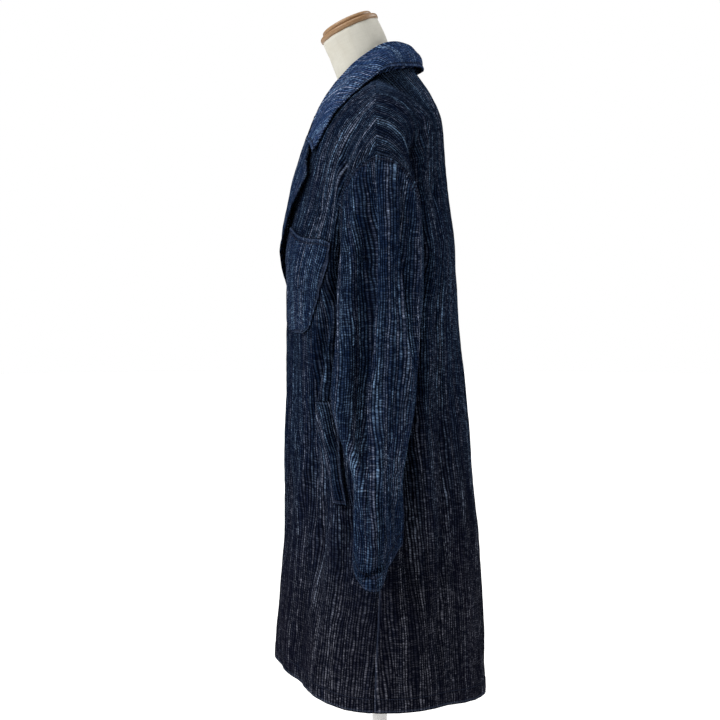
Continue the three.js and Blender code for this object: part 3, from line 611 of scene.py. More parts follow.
# ------------------------------------------------------------------ materials
class Nodes:
    """A material's node tree, with short ways to add sums to it."""

    def __init__(self, name):
        self.mat = bpy.data.materials.new(name)
        self.mat.use_nodes = True
        self.nt = self.mat.node_tree
        self.nt.nodes.clear()

    def add(self, kind, ins=(), **props):
        n = self.nt.nodes.new(kind)
        for k, v in props.items():
            setattr(n, k, v)
        for k, v in dict(ins).items():
            s = n.inputs[k]
            if isinstance(v, bpy.types.NodeSocket):
                self.nt.links.new(v, s)
            else:
                s.default_value = v
        return n

    def math(self, op, a, b=0.0, c=0.0, clamp=False):
        return self.add("ShaderNodeMath", {0: a, 1: b, 2: c}, operation=op, use_clamp=clamp).outputs[0]

    def mul(self, a, b): return self.math("MULTIPLY", a, b)
    def plus(self, a, b): return self.math("ADD", a, b)
    def fma(self, a, b, c): return self.math("MULTIPLY_ADD", a, b, c)

    def step(self, lo, hi, x):
        """Smooth rise from 0 at lo to 1 at hi; falls if lo is above hi."""
        a, b, lo, hi = (0.0, 1.0, lo, hi) if lo < hi else (1.0, 0.0, hi, lo)
        n = self.add("ShaderNodeMapRange", {"Value": x, "From Min": lo, "From Max": hi, "To Min": a, "To Max": b}, interpolation_type="SMOOTHSTEP")
        return n.outputs[0]

    def xyz(self, x, y=0.0, z=0.0):
        return self.add("ShaderNodeCombineXYZ", {0: x, 1: y, 2: z}).outputs[0]

    def noise(self, x, y=0.0, detail=1.0, rough=0.5, dims="2D"):
        return self.add("ShaderNodeTexNoise", {"Vector": self.xyz(x, y), "Scale": 1.0, "Detail": detail, "Roughness": rough}, noise_dimensions=dims).outputs[0]

    def rand(self, x):
        return self.add("ShaderNodeTexWhiteNoise", {"W": x}, noise_dimensions="1D").outputs[0]

    def mix(self, f, a, b):
        n = self.add("ShaderNodeMix", data_type="RGBA")
        for s, v in ((n.inputs[0], f), (n.inputs[6], a), (n.inputs[7], b)):
            if isinstance(v, bpy.types.NodeSocket):
                self.nt.links.new(v, s)
            else:
                s.default_value = (*v, 1.0) if hasattr(v, "__len__") else v
        return n.outputs[2]

    def ridge(self, x):
        """1 at the middle of each whole step of x, 0 at its ends."""
        f = self.math("FRACT", x)
        return self.math("SUBTRACT", 1.0, self.math("ABSOLUTE", self.fma(f, 2.0, -1.0)))

    def uv(self, name):
        s = self.add("ShaderNodeSeparateXYZ", {0: self.add("ShaderNodeUVMap", uv_map=name).outputs[0]})
        return self.mul(s.outputs[0], 1000.0), self.mul(s.outputs[1], 1000.0)

    def done(self, colour, rough, height, bump=0.6, depth=0.0005, **fixed):
        b = self.add("ShaderNodeBump", {"Strength": bump, "Distance": depth, "Height": height})
        p = self.add("ShaderNodeBsdfPrincipled", {"Base Color": colour, "Roughness": rough, "Normal": b.outputs[0]})
        for k, v in fixed.items():
            p.inputs[k.replace("_", " ").title().replace("Ior", "IOR")].default_value = v
        self.nt.links.new(p.outputs[0], self.add("ShaderNodeOutputMaterial").inputs[0])
        return self.mat


def kasuri(name, seed, painted_falloff_heights, dense=1.0, weft=0.35, bright=1.0, bands=(), stitch=(), side_stitch=(), light=1.0, dark=1.0, calm=1.0, painted_top_light=(2000, 2100)):
    """Indigo kasuri. Across the threads runs u and along them v, in mm. painted_falloff_heights
    holds the heights between which the cloth turns from a browner near black to indigo, a
    painted falloff of the top light towards the hem; dense is the share of columns with pale
    thread; stitch and side_stitch are stitch lines' distances from the edges. High on the piece,
    above painted_top_light, the ground is painted lighter as painted top light on the shoulders;
    light and dark scale each piece's brightness, as painted light."""
    g = Nodes(name)
    u, v = g.uv("warp")
    eu, ev = g.uv("edge")
    o = seed * 31.7
    # threads wander a little
    sway = g.noise(g.fma(u, 1 / 34, o), g.mul(v, 1 / 190), 2, 0.5)
    small = g.noise(g.fma(u, 1 / 8, o + 3), g.mul(v, 1 / 30), 1, 0.5)
    u3 = g.plus(g.fma(sway, 13.0 * calm, -6.5 * calm), g.fma(small, 3.4 * calm, u))
    col = g.fma(u3, 1 / 4.5, o)
    c = g.math("FLOOR", col)
    who = g.rand(c)
    prof = g.step(0.05, 0.8, g.ridge(col))
    # each column's dye comes and goes along it: long runs, breaks, and a bead at each weft
    group = g.noise(g.fma(c, 0.31, o), g.mul(v, 1 / 200), 2, 0.6)
    long_ = g.noise(g.mul(c, 17.31), g.mul(v, 1 / 60), 3, 0.6)
    short = g.noise(g.fma(c, 9.13, 40.0), g.mul(v, 1 / 9), 2, 0.55)
    broad = g.noise(g.fma(u, 1 / 130, o), g.mul(v, 1 / 230), 2, 0.5)
    wave = g.noise(g.fma(u, 1 / 22, o + 9), g.mul(v, 1 / 22), 1, 0.5)
    level = g.fma(v, 1 / 3.7, g.mul(wave, 1.8))
    bead = g.step(0.0, 0.8, g.ridge(g.plus(level, g.mul(who, 0.8))))
    # one weft crossing differs from the next
    knot = g.rand(g.fma(c, 37.7, g.mul(g.math("FLOOR", g.plus(level, g.mul(who, 0.8))), 11.3)))
    own = g.fma(g.math("POWER", who, 1.5), 0.62, 0.18)
    amp = g.mul(g.mul(own, g.fma(g.step(0.33, 0.62, long_), 0.8, 0.2)), g.fma(g.step(0.34, 0.6, short), 0.85, 0.22))
    zone = g.fma(g.step(0.36, 0.62, group), 0.9, 0.5 * dense)
    for b0, b1, k in bands:
        run = g.mul(g.step(b0 - 18, b0 + 10, g.fma(short, 22.0, v)), g.step(b1 + 18, b1 - 10, g.fma(long_, 22.0, v)))
        zone = g.fma(run, k, zone)
    zone = g.mul(zone, g.fma(g.step(0.3, 0.7, broad), 0.5, 0.75))
    # finer threads on each column
    fine = g.noise(g.mul(u3, 1 / 1.25), g.mul(v, 1 / 7), 1, 0.5)
    thread_ = g.mul(g.mul(g.mul(prof, prof), amp), g.mul(g.fma(bead, 0.9, 0.22), g.mul(g.fma(fine, 1.4, 0.35), g.fma(knot, 1.2, 0.4))))
    # pale weft here and there
    wtri = g.step(0.2, 0.85, g.ridge(level))
    wrun = g.step(0.46, 0.72, g.noise(g.fma(g.math("FLOOR", level), 5.77, 11.0), g.fma(u, 1 / 16, o), 2, 0.5))
    cross = g.mul(g.mul(g.mul(wtri, wrun), weft), g.fma(zone, 0.35, 0.1))
    pale = g.plus(g.mul(thread_, zone), g.mul(cross, g.fma(prof, 0.7, 0.3)))
    pale = g.math("MULTIPLY", pale, bright, clamp=True)
    # painted falloff of the top light: lower on the piece the ground is a browner near black and the pale threads
    # greyer
    up = g.step(painted_falloff_heights[0], painted_falloff_heights[1], g.fma(broad, 160.0, g.plus(v, -80.0)))
    # light and dark scale the brightness per piece: lit and shaded copies of the one cloth, as painted light
    k = light * dark
    ground = g.mix(up, (0.0062 * k, 0.0070 * k, 0.0150 * k), (0.0040 * k, 0.0100 * k, 0.0300 * k))
    ground = g.mix(g.mul(g.step(0.45, 0.75, group), 0.5), ground, (0.0090 * k, 0.0130 * k, 0.0280 * k))
    # painted top light: high on the piece the ground is painted lighter, where the shoulders catch the top light
    painted_top_light_mask = g.step(painted_top_light[0], painted_top_light[1], g.fma(broad, 90.0, g.plus(v, -45.0)))
    ground = g.mix(painted_top_light_mask, ground, (0.030, 0.054, 0.108))
    # the gaps between the columns and between the weft beads are painted near black: painted shade, as in deep
    # self-shadowed gaps
    lit = g.mul(g.fma(prof, 0.78, 0.22), g.mul(g.fma(bead, 0.65, 0.42), g.fma(knot, 0.8, 0.62)))
    ground = g.mix(lit, (0.0012, 0.0016, 0.0042), ground)
    tint = g.mix(g.step(0.35, 0.85, g.rand(g.plus(c, 0.5))), (0.132 * light, 0.212 * light, 0.335 * light), (0.188 * light, 0.224 * light, 0.320 * light))
    tint = g.mix(up, (0.138 * light, 0.142 * light, 0.176 * light), tint)
    colour = g.mix(pale, ground, tint)
    height = g.plus(g.mul(prof, g.fma(long_, 0.6, 0.9)), g.plus(g.mul(g.mul(bead, prof), 0.55), g.fma(wave, 1.2, g.mul(fine, 0.3))))
    # stitching: a sunk line with short pale threads, and painted shade darkening the sunk line
    for dist, away, along in [(d, ev, u) for d in stitch] + [(d, eu, v) for d in side_stitch]:
        off = g.math("ABSOLUTE", g.plus(away, -dist))
        dash = g.mul(g.step(1.15, 0.35, off), g.step(0.18, 0.42, g.ridge(g.mul(along, 1 / 3.1))))
        height = g.plus(g.plus(height, g.mul(g.step(2.6, 0.0, off), -1.6)), g.mul(dash, 1.1))
        colour = g.mix(g.mul(g.step(2.8, 0.4, off), 0.6), colour, (0.0025, 0.003, 0.006))
        colour = g.mix(g.mul(dash, 0.55), colour, (0.035, 0.042, 0.072))
    # folded edges are rubbed a little paler
    rim = g.math("MINIMUM", eu, ev)
    rub = g.mul(g.step(5.0, 2.6, rim), g.step(0.9, 1.8, rim))
    colour = g.mix(g.mul(rub, 0.22), colour, (0.070, 0.092, 0.150))
    # painted shadow line: the very edge is painted near black
    colour = g.mix(g.mul(g.step(1.5, 0.4, rim), 0.75), colour, (0.0015, 0.0018, 0.0040))
    rough = g.fma(pale, -0.08, 0.95)
    return g.done(colour, rough, height, 1.0, 0.0011, specular_ior_level=0.0)


def canvas(name):
    g = Nodes(name)
    u, v = g.uv("warp")
    eu, ev = g.uv("edge")
    a = g.ridge(g.mul(u, 1 / 0.9))
    b = g.ridge(g.mul(v, 1 / 0.9))
    slub = g.noise(g.mul(u, 1 / 3.0), g.mul(v, 1 / 26), 2, 0.5)
    slub2 = g.noise(g.mul(u, 1 / 24), g.mul(v, 1 / 2.4), 2, 0.5)
    soil = g.noise(g.mul(u, 1 / 60), g.mul(v, 1 / 70), 3, 0.5)
    colour = g.mix(g.fma(g.plus(slub, slub2), 0.5, 0.0), (0.53, 0.51, 0.44), (0.67, 0.65, 0.575))
    colour = g.mix(g.mul(g.step(0.5, 0.75, soil), 0.25), colour, (0.52, 0.48, 0.38))
    seam = g.step(1.1, 0.3, eu)
    colour = g.mix(g.mul(seam, 0.6), colour, (0.26, 0.25, 0.235))
    height = g.plus(g.plus(g.mul(a, 0.5), g.mul(b, 0.5)), g.plus(g.mul(slub, 1.2), g.mul(seam, -2.0)))
    return g.done(colour, g.fma(slub, 0.08, 0.88), height, 0.5, 0.0003, sheen_weight=0.1, specular_ior_level=0.3)


def wood(name, dark, pale, tilt=0.0):
    g = Nodes(name)
    s = g.add("ShaderNodeSeparateXYZ", {0: g.add("ShaderNodeTexCoord").outputs["Object"]})
    x, y, z = (g.mul(s.outputs[i], 1000.0) for i in range(3))
    ring = g.noise(g.fma(x, 1 / 9, tilt), g.fma(y, 1 / 70, g.mul(z, 1 / 14)), 3, 0.55)
    grain = g.noise(g.mul(x, 1 / 1.1), g.fma(y, 1 / 22, g.mul(z, 1 / 1.6)), 3, 0.6)
    band = g.ridge(g.mul(ring, 9.0))
    colour = g.mix(g.fma(band, 0.55, g.mul(grain, 0.35)), dark, pale)
    pore = g.step(0.62, 0.74, grain)
    colour = g.mix(g.mul(pore, 0.35), colour, tuple(c * 0.55 for c in dark))
    return g.done(colour, g.fma(grain, 0.2, 0.38), g.fma(pore, -1.0, band), 0.25, 0.0002, coat_weight=0.12, coat_roughness=0.3, specular_ior_level=0.45)


def painted(name):
    g = Nodes(name)
    u, v = g.uv("warp")
    orange = g.noise(g.mul(u, 1 / 1.6), g.mul(v, 1 / 1.6), 2, 0.5)
    dust = g.noise(g.mul(u, 1 / 45), g.mul(v, 1 / 30), 3, 0.55)
    colour = g.mix(dust, (0.66, 0.65, 0.625), (0.76, 0.755, 0.74))
    return g.done(colour, g.fma(dust, 0.16, 0.36), orange, 0.22, 0.0002, specular_ior_level=0.5)


# ------------------------------------------------------------------ creases
# Each: across and height at its start, across and height at its end, width, depth in mm.
FRONT_CREASES = [
    (0.92, 1190, 0.845, 800, 0.050, 12),
    (0.86, 860, 0.80, 480, 0.040, 6),
    (0.70, 905, 0.47, 640, 0.040, -4.5),
    (0.50, 740, 0.43, 380, 0.045, -4),
    (0.81, 885, 0.62, 560, 0.040, 5),
    (0.67, 800, 0.635, 520, 0.030, 4.5),
    (0.60, 640, 0.57, 370, 0.035, 3),
    (0.31, 960, 0.28, 400, 0.050, -2.5),
    (0.42, 1010, 0.37, 560, 0.045, 3),
    (0.64, 1170, 0.60, 960, 0.050, 2.5),
    (0.74, 1080, 0.70, 880, 0.040, -2.5),
    (0.50, 1290, 0.60, 1090, 0.060, 2.5),
    (0.74, 1290, 0.86, 1130, 0.050, 3.5),
    (0.74, 600, 0.72, 370, 0.040, -3.5),
]
FRONT_CREASES_RIGHT = [
    (0.92, 1180, 0.86, 780, 0.052, 11),
    (0.85, 840, 0.78, 450, 0.042, 6),
    (0.68, 880, 0.50, 600, 0.042, -4),
    (0.54, 760, 0.45, 390, 0.046, -4),
    (0.79, 900, 0.66, 540, 0.038, 5),
    (0.33, 940, 0.27, 420, 0.050, -2.5),
    (0.44, 980, 0.40, 520, 0.045, 3),
    (0.62, 1150, 0.60, 940, 0.050, 2.5),
    (0.52, 1280, 0.62, 1100, 0.060, 2.5),
    (0.76, 1285, 0.87, 1140, 0.050, 3.5),
    (0.71, 640, 0.72, 380, 0.040, 3.5),
]
# The back runs from -1 at the right side seam to 1 at the left one.
BACK_CREASES = [
    (0.86, 1190, 0.82, 700, 0.050, 12), (-0.86, 1180, -0.83, 680, 0.052, 11),
    (0.80, 820, 0.74, 380, 0.045, 6), (-0.78, 840, -0.75, 370, 0.045, 6),
    (0.62, 1150, 0.50, 700, 0.055, 4), (-0.60, 1160, -0.53, 640, 0.055, 4),
    (0.42, 1000, 0.46, 370, 0.050, -3.5), (-0.44, 960, -0.42, 360, 0.052, -3.5),
    (0.20, 930, 0.15, 360, 0.050, 3.5), (-0.17, 900, -0.22, 360, 0.055, 3),
    (0.63, 860, 0.68, 370, 0.032, 5), (-0.66, 820, -0.62, 365, 0.035, 5),
    (0.34, 1200, 0.30, 900, 0.060, 2.5), (-0.33, 1210, -0.28, 930, 0.060, 2.5),
    (0.88, 1260, 0.62, 1120, 0.050, 3), (-0.87, 1255, -0.63, 1130, 0.050, 3),
    (0.03, 1290, 0.02, 1030, 0.050, -2), (0.32, 640, 0.27, 355, 0.040, 3),
    (-0.33, 600, -0.30, 355, 0.040, 3), (0.03, 700, 0.06, 355, 0.045, -3),
]
# Round the sleeve: 0 inner, 0.25 front, 0.5 outer, 0.75 back.
SLEEVE_CREASES = [
    (0.485, 1172, 0.468, 980, 0.016, 6),
    (0.42, 880, 0.335, 740, 0.024, 6),
    (0.405, 1165, 0.375, 960, 0.022, -4),
    (0.56, 1150, 0.575, 960, 0.014, 4),
    (0.645, 1140, 0.655, 930, 0.018, -4),
    (0.56, 960, 0.60, 800, 0.020, 4),
    (0.52, 900, 0.47, 690, 0.016, 3.5),
    (0.30, 1120, 0.28, 860, 0.030, 4),
    (0.70, 1100, 0.72, 860, 0.030, 4),
    (0.49, 780, 0.545, 640, 0.018, 4),
    (0.41, 740, 0.45, 615, 0.020, 4.5),
    (0.35, 720, 0.32, 620, 0.020, 3.5),
    (0.60, 760, 0.63, 650, 0.020, 4),
    (0.93, 1000, 0.94, 700, 0.030, 5),
    (0.06, 980, 0.05, 700, 0.030, 5),
    (0.80, 900, 0.78, 700, 0.030, 4),
]
SLEEVE_CREASES_RIGHT = [
    (0.48, 1165, 0.465, 960, 0.018, 5),
    (0.43, 900, 0.35, 720, 0.026, 6),
    (0.40, 1160, 0.37, 940, 0.024, -4),
    (0.57, 1140, 0.59, 930, 0.016, 4),
    (0.65, 1130, 0.66, 900, 0.020, -4),
    (0.54, 920, 0.57, 760, 0.022, 4),
    (0.30, 1110, 0.27, 840, 0.030, 4),
    (0.71, 1090, 0.73, 850, 0.030, 4),
    (0.50, 800, 0.53, 640, 0.020, 4),
    (0.40, 760, 0.43, 620, 0.022, 4),
    (0.62, 740, 0.64, 650, 0.020, 4),
    (0.94, 1000, 0.93, 700, 0.030, 5),
    (0.05, 960, 0.06, 700, 0.030, 5),
]


# Deep folds: (lean, rows of height, place across, half width, depth in mm).
FRONT_VALLEYS = [
    # in front of the sleeve, from the shoulder down to the welt
    (-0.15, [(1300, 0.60, 0.035, 0), (1262, 0.665, 0.035, 5), (1222, 0.705, 0.034, 10), (1205, 0.745, 0.032, 15), (1185, 0.80, 0.030, 21), (1157, 0.86, 0.030, 27),
             (1098, 0.878, 0.030, 31), (1050, 0.868, 0.027, 30), (1000, 0.812, 0.026, 28), (950, 0.775, 0.028, 25), (900, 0.752, 0.030, 21), (850, 0.750, 0.028, 18),
             (800, 0.762, 0.024, 15), (750, 0.79, 0.022, 12), (700, 0.822, 0.020, 9), (670, 0.84, 0.025, 0)]),
    # its branch towards the front, beside the welt
    (0.2, [(1015, 0.78, 0.020, 0), (975, 0.73, 0.024, 10), (935, 0.69, 0.028, 15), (870, 0.64, 0.026, 15), (810, 0.618, 0.028, 12), (750, 0.60, 0.030, 9), (690, 0.60, 0.035, 6), (640, 0.61, 0.04, 0)]),
    (0.0, [(850, 0.565, 0.03, 0), (800, 0.52, 0.03, 5), (745, 0.44, 0.034, 6.5), (680, 0.36, 0.04, 4), (640, 0.33, 0.04, 0)]),
    (0.0, [(880, 0.60, 0.022, 0), (840, 0.585, 0.022, -4), (790, 0.53, 0.026, -4.5), (735, 0.45, 0.03, -3), (700, 0.42, 0.03, 0)]),
    (0.1, [(820, 0.68, 0.03, 0), (780, 0.66, 0.04, 7), (700, 0.655, 0.045, 11), (620, 0.675, 0.05, 12), (560, 0.69, 0.05, 7), (500, 0.70, 0.05, 0)]),
    (0.0, [(720, 0.90, 0.04, 0), (680, 0.87, 0.045, 9), (600, 0.83, 0.055, 12), (550, 0.82, 0.055, 6), (510, 0.82, 0.05, 0)]),
    # drawn from the top of the sleeve
    (0.0, [(1240, 0.975, 0.035, 0), (1222, 0.95, 0.035, 6), (1200, 0.925, 0.03, 6), (1180, 0.91, 0.03, 0)]),
    (0.0, [(1330, 0.50, 0.03, 0), (1300, 0.56, 0.034, 3), (1250, 0.62, 0.034, 4), (1200, 0.66, 0.03, 3), (1150, 0.70, 0.03, 0)]),
    (0.0, [(1180, 0.60, 0.022, 0), (1130, 0.64, 0.022, 3.5), (1060, 0.69, 0.024, 3), (1010, 0.70, 0.024, 0)]),
]
BACK_VALLEYS = [
    # behind the left sleeve, down its whole length
    (-0.1, [(1322, 0.50, 0.05, 0), (1292, 0.62, 0.05, 8), (1260, 0.70, 0.048, 13), (1215, 0.835, 0.042, 22), (1150, 0.915, 0.038, 30), (1080, 0.905, 0.036, 30), (1020, 0.865, 0.034, 27),
            (945, 0.835, 0.040, 30), (880, 0.83, 0.042, 31), (800, 0.84, 0.046, 32), (730, 0.855, 0.055, 31), (640, 0.85, 0.06, 26), (580, 0.82, 0.065, 15), (510, 0.80, 0.06, 0)]),
    (0.1, [(1322, -0.52, 0.05, 0), (1290, -0.63, 0.05, 8), (1255, -0.71, 0.048, 13), (1210, -0.83, 0.042, 21), (1150, -0.91, 0.038, 29), (1070, -0.90, 0.036, 29), (1010, -0.86, 0.034, 26),
           (940, -0.82, 0.034, 24), (860, -0.82, 0.034, 23), (790, -0.84, 0.038, 22), (700, -0.86, 0.05, 18), (620, -0.84, 0.055, 14), (560, -0.83, 0.06, 0)]),
    (0.0, [(1200, 0.72, 0.03, 0), (1120, 0.73, 0.03, 4), (980, 0.68, 0.03, 4.5), (800, 0.62, 0.035, 4), (600, 0.60, 0.04, 0)]),
    (0.0, [(1180, -0.74, 0.03, 0), (1100, -0.72, 0.03, 4), (960, -0.67, 0.03, 4.5), (760, -0.62, 0.035, 4), (560, -0.61, 0.04, 0)]),
]
SLEEVE_VALLEYS = [
    (0.62, [(1204, 0.505, 0.020, 0), (1188, 0.497, 0.028, 8), (1165, 0.490, 0.036, 14), (1130, 0.484, 0.042, 18), (1100, 0.481, 0.046, 19), (1050, 0.477, 0.048, 19), (1000, 0.473, 0.046, 21), (950, 0.468, 0.042, 22),
             (900, 0.461, 0.036, 22), (850, 0.450, 0.031, 20), (800, 0.434, 0.026, 16), (765, 0.418, 0.022, 9), (740, 0.41, 0.02, 0)]),
    (-0.35, [(1198, 0.545, 0.014, 0), (1180, 0.556, 0.016, 6), (1150, 0.572, 0.020, 10), (1100, 0.588, 0.024, 12), (1050, 0.606, 0.026, 13), (1005, 0.634, 0.026, 13), (960, 0.662, 0.026, 10), (900, 0.69, 0.03, 0)]),
    (0.0, [(1150, 0.40, 0.015, 0), (1100, 0.385, 0.016, 4), (1000, 0.375, 0.018, 4), (900, 0.36, 0.018, 4.5), (840, 0.375, 0.018, 5), (800, 0.40, 0.018, 4), (770, 0.42, 0.018, 0)]),
    (0.0, [(1120, 0.615, 0.010, 0), (1090, 0.628, 0.010, 3.5), (1040, 0.655, 0.012, 3.5), (1000, 0.68, 0.012, 0)]),
    (0.0, [(1160, 0.600, 0.009, 0), (1130, 0.612, 0.010, 3), (1085, 0.648, 0.012, 3.5), (1050, 0.67, 0.012, 0)]),
    (0.0, [(1010, 0.535, 0.008, 0), (950, 0.530, 0.010, 3.5), (880, 0.524, 0.011, 4), (800, 0.520, 0.012, 3), (750, 0.52, 0.012, 0)]),
    (0.0, [(760, 0.50, 0.02, 0), (710, 0.508, 0.022, 4), (650, 0.515, 0.022, 4.5), (625, 0.52, 0.02, 0)]),
    (0.0, [(770, 0.585, 0.02, 0), (735, 0.575, 0.02, 4), (690, 0.60, 0.022, 4), (650, 0.62, 0.022, 0)]),
    (0.0, [(700, 0.41, 0.03, 0), (660, 0.40, 0.03, 5), (625, 0.41, 0.03, 5), (600, 0.42, 0.03, 2), (590, 0.42, 0.03, 0)]),
    (0.0, [(900, 0.58, 0.012, 0), (850, 0.575, 0.014, 3.5), (790, 0.56, 0.014, 3), (760, 0.555, 0.014, 0)]),
]


def crinkle(u, v, seed):
    """The cloth's own unevenness, longer along the threads, in mm."""
    return (
        1.3 * noise(u / 46, v / 120, seed) + 0.85 * noise(u / 17, v / 50, seed + 1)
        + 0.45 * noise(u / 8, v / 22, seed + 2) + 0.2 * noise(u / 4.2, v / 8, seed + 3)
    )


class Surface:
    """A finished grid, to lay pockets and the like on."""

    def __init__(self, p, n):
        self.p, self.n = p, n

    def at(self, t, v):
        rows, cols = self.p.shape[:2]
        i, j = np.clip(v, 0, 1) * (rows - 1), np.clip(t, 0, 1) * (cols - 1)
        a, b = np.minimum(i.astype(int), rows - 2), np.minimum(j.astype(int), cols - 2)
        fi, fj = (i - a)[..., None], (j - b)[..., None]
        out = []
        for g in (self.p, self.n):
            out.append((g[a, b] * (1 - fj) + g[a, b + 1] * fj) * (1 - fi) + (g[a + 1, b] * (1 - fj) + g[a + 1, b + 1] * fj) * fi)
        return out[0], unit(out[1])


def grid(rows, cols):
    v, t = np.meshgrid(np.linspace(0, 1, rows + 1), np.linspace(0, 1, cols + 1), indexing="ij")
    return t, v


def front(side, seed):
    t, v = grid(272, 84)
    p = front_panel(t, v)
    p = soften(p, 7, bell((v - SPLIT) / 0.05)[..., None])
    p = layer(p, -OVER if side > 0 else UNDER)
    n = normals(p, 1)
    up, z = arc(p, 0), p[..., 2]
    deep = valleys(FRONT_VALLEYS, t + (0.012 * np.sin(z / 90) if side < 0 else 0), z)
    flat = arc(p, 1)
    warp_u = 0.4 * flat + 0.6 * arc(p - n * deep[..., None], 1) + p[:, :1, 0]
    u = flat + p[:, :1, 0]
    away = u[:, -1:] - u  # from the side seam or armhole
    top = up[-1:] - up
    d = -creases(FRONT_CREASES[2:] if side > 0 else FRONT_CREASES_RIGHT[2:], t, z) - deep
    d += crinkle(u, up, seed) * (0.35 + 0.65 * ease(0, 14, away))
    d *= ease(0, 9, away) * ease(0, 9, top)
    # near the front edge and under the lapel the two layers lie flat
    d *= 0.35 + 0.65 * ease(0.03, 0.2, t)
    d -= 1.3 * bell(away / 2.6) + 1.0 * bell(top / 2.6)
    d += 0.8 * bell((away - 7) / 3.0) + 0.7 * bell((top - 7) / 3.0)
    d -= 0.55 * bell((up - 21) / 2.0) - 0.35 * ease(21, 16, up) * (1 + noise(u / 9, up / 30, seed + 7))
    q = p + n * (2.0 + d)[..., None]
    if side < 0:
        q, n = mirror(q), mirror(n)
    warp = np.stack([warp_u, up], -1)
    edge = np.stack([u - u[:, :1], up], -1)
    ob = cloth("coat_front_" + ("left" if side > 0 else "right"), q, 1.8, warp, edge, side)
    return ob, Surface(q, n)


def back(seed):
    s, v = grid(272, 150)
    s = s * 2 - 1  # -1 right side seam, 1 left
    p = back_panel(np.abs(s), v)
    p = soften(p, 7, bell((v - SPLIT) / 0.05)[..., None])
    p[..., 0] *= np.where(s < 0, -1, 1)
    mid = soften(p, 3, bell(s / 0.08)[..., None], axis=1)
    p = np.where((np.arange(p.shape[0]) < p.shape[0] - 1)[:, None, None], mid, p)
    n = normals(p, -1)
    u, up, z = arc(p, 1), arc(p, 0), p[..., 2]
    u = u - u[:, 75:76]
    away = np.minimum(u - u[:, :1], u[:, -1:] - u)
    top = up[-1:] - up
    # over the shoulder the threads bend and come to the seam almost level
    w = np.clip((v - SPLIT) / (1 - SPLIT), 0, 1)
    bend = np.interp(w, [0, 0.3, 0.5, 0.6, 0.68, 0.75, 0.8, 0.87, 0.95, 1], [0, 0.03, 0.085, 0.08, 0.04, 0, -0.045, -0.055, -0.03, 0])
    grain = u - np.sign(s) * bend * ease(0.25, 0.65, np.abs(s)) * 300
    deep = valleys(BACK_VALLEYS, s, z)
    bent = arc(p - n * deep[..., None], 1)
    grain = grain + 0.6 * (bent - bent[:, 75:76] - u)
    d = -creases(BACK_CREASES[6:], s, z) - deep
    d += crinkle(u, up, seed) * (0.35 + 0.65 * ease(0, 14, away))
    d *= ease(0, 9, away) * ease(0, 9, top)
    d -= 1.3 * bell(away / 2.6) + 1.0 * bell(top / 2.6) * (np.abs(s) > 0.26)
    d += 0.8 * bell((away - 7) / 3.0)
    d -= 0.55 * bell((up - 21) / 2.0) - 0.35 * ease(21, 16, up) * (1 + noise(u / 9, up / 30, seed + 7))
    q = p + n * (2.0 + d)[..., None]
    ob = cloth("coat_back", q, 1.8, np.stack([grain, up], -1), np.stack([away, up], -1), -1)
    return ob


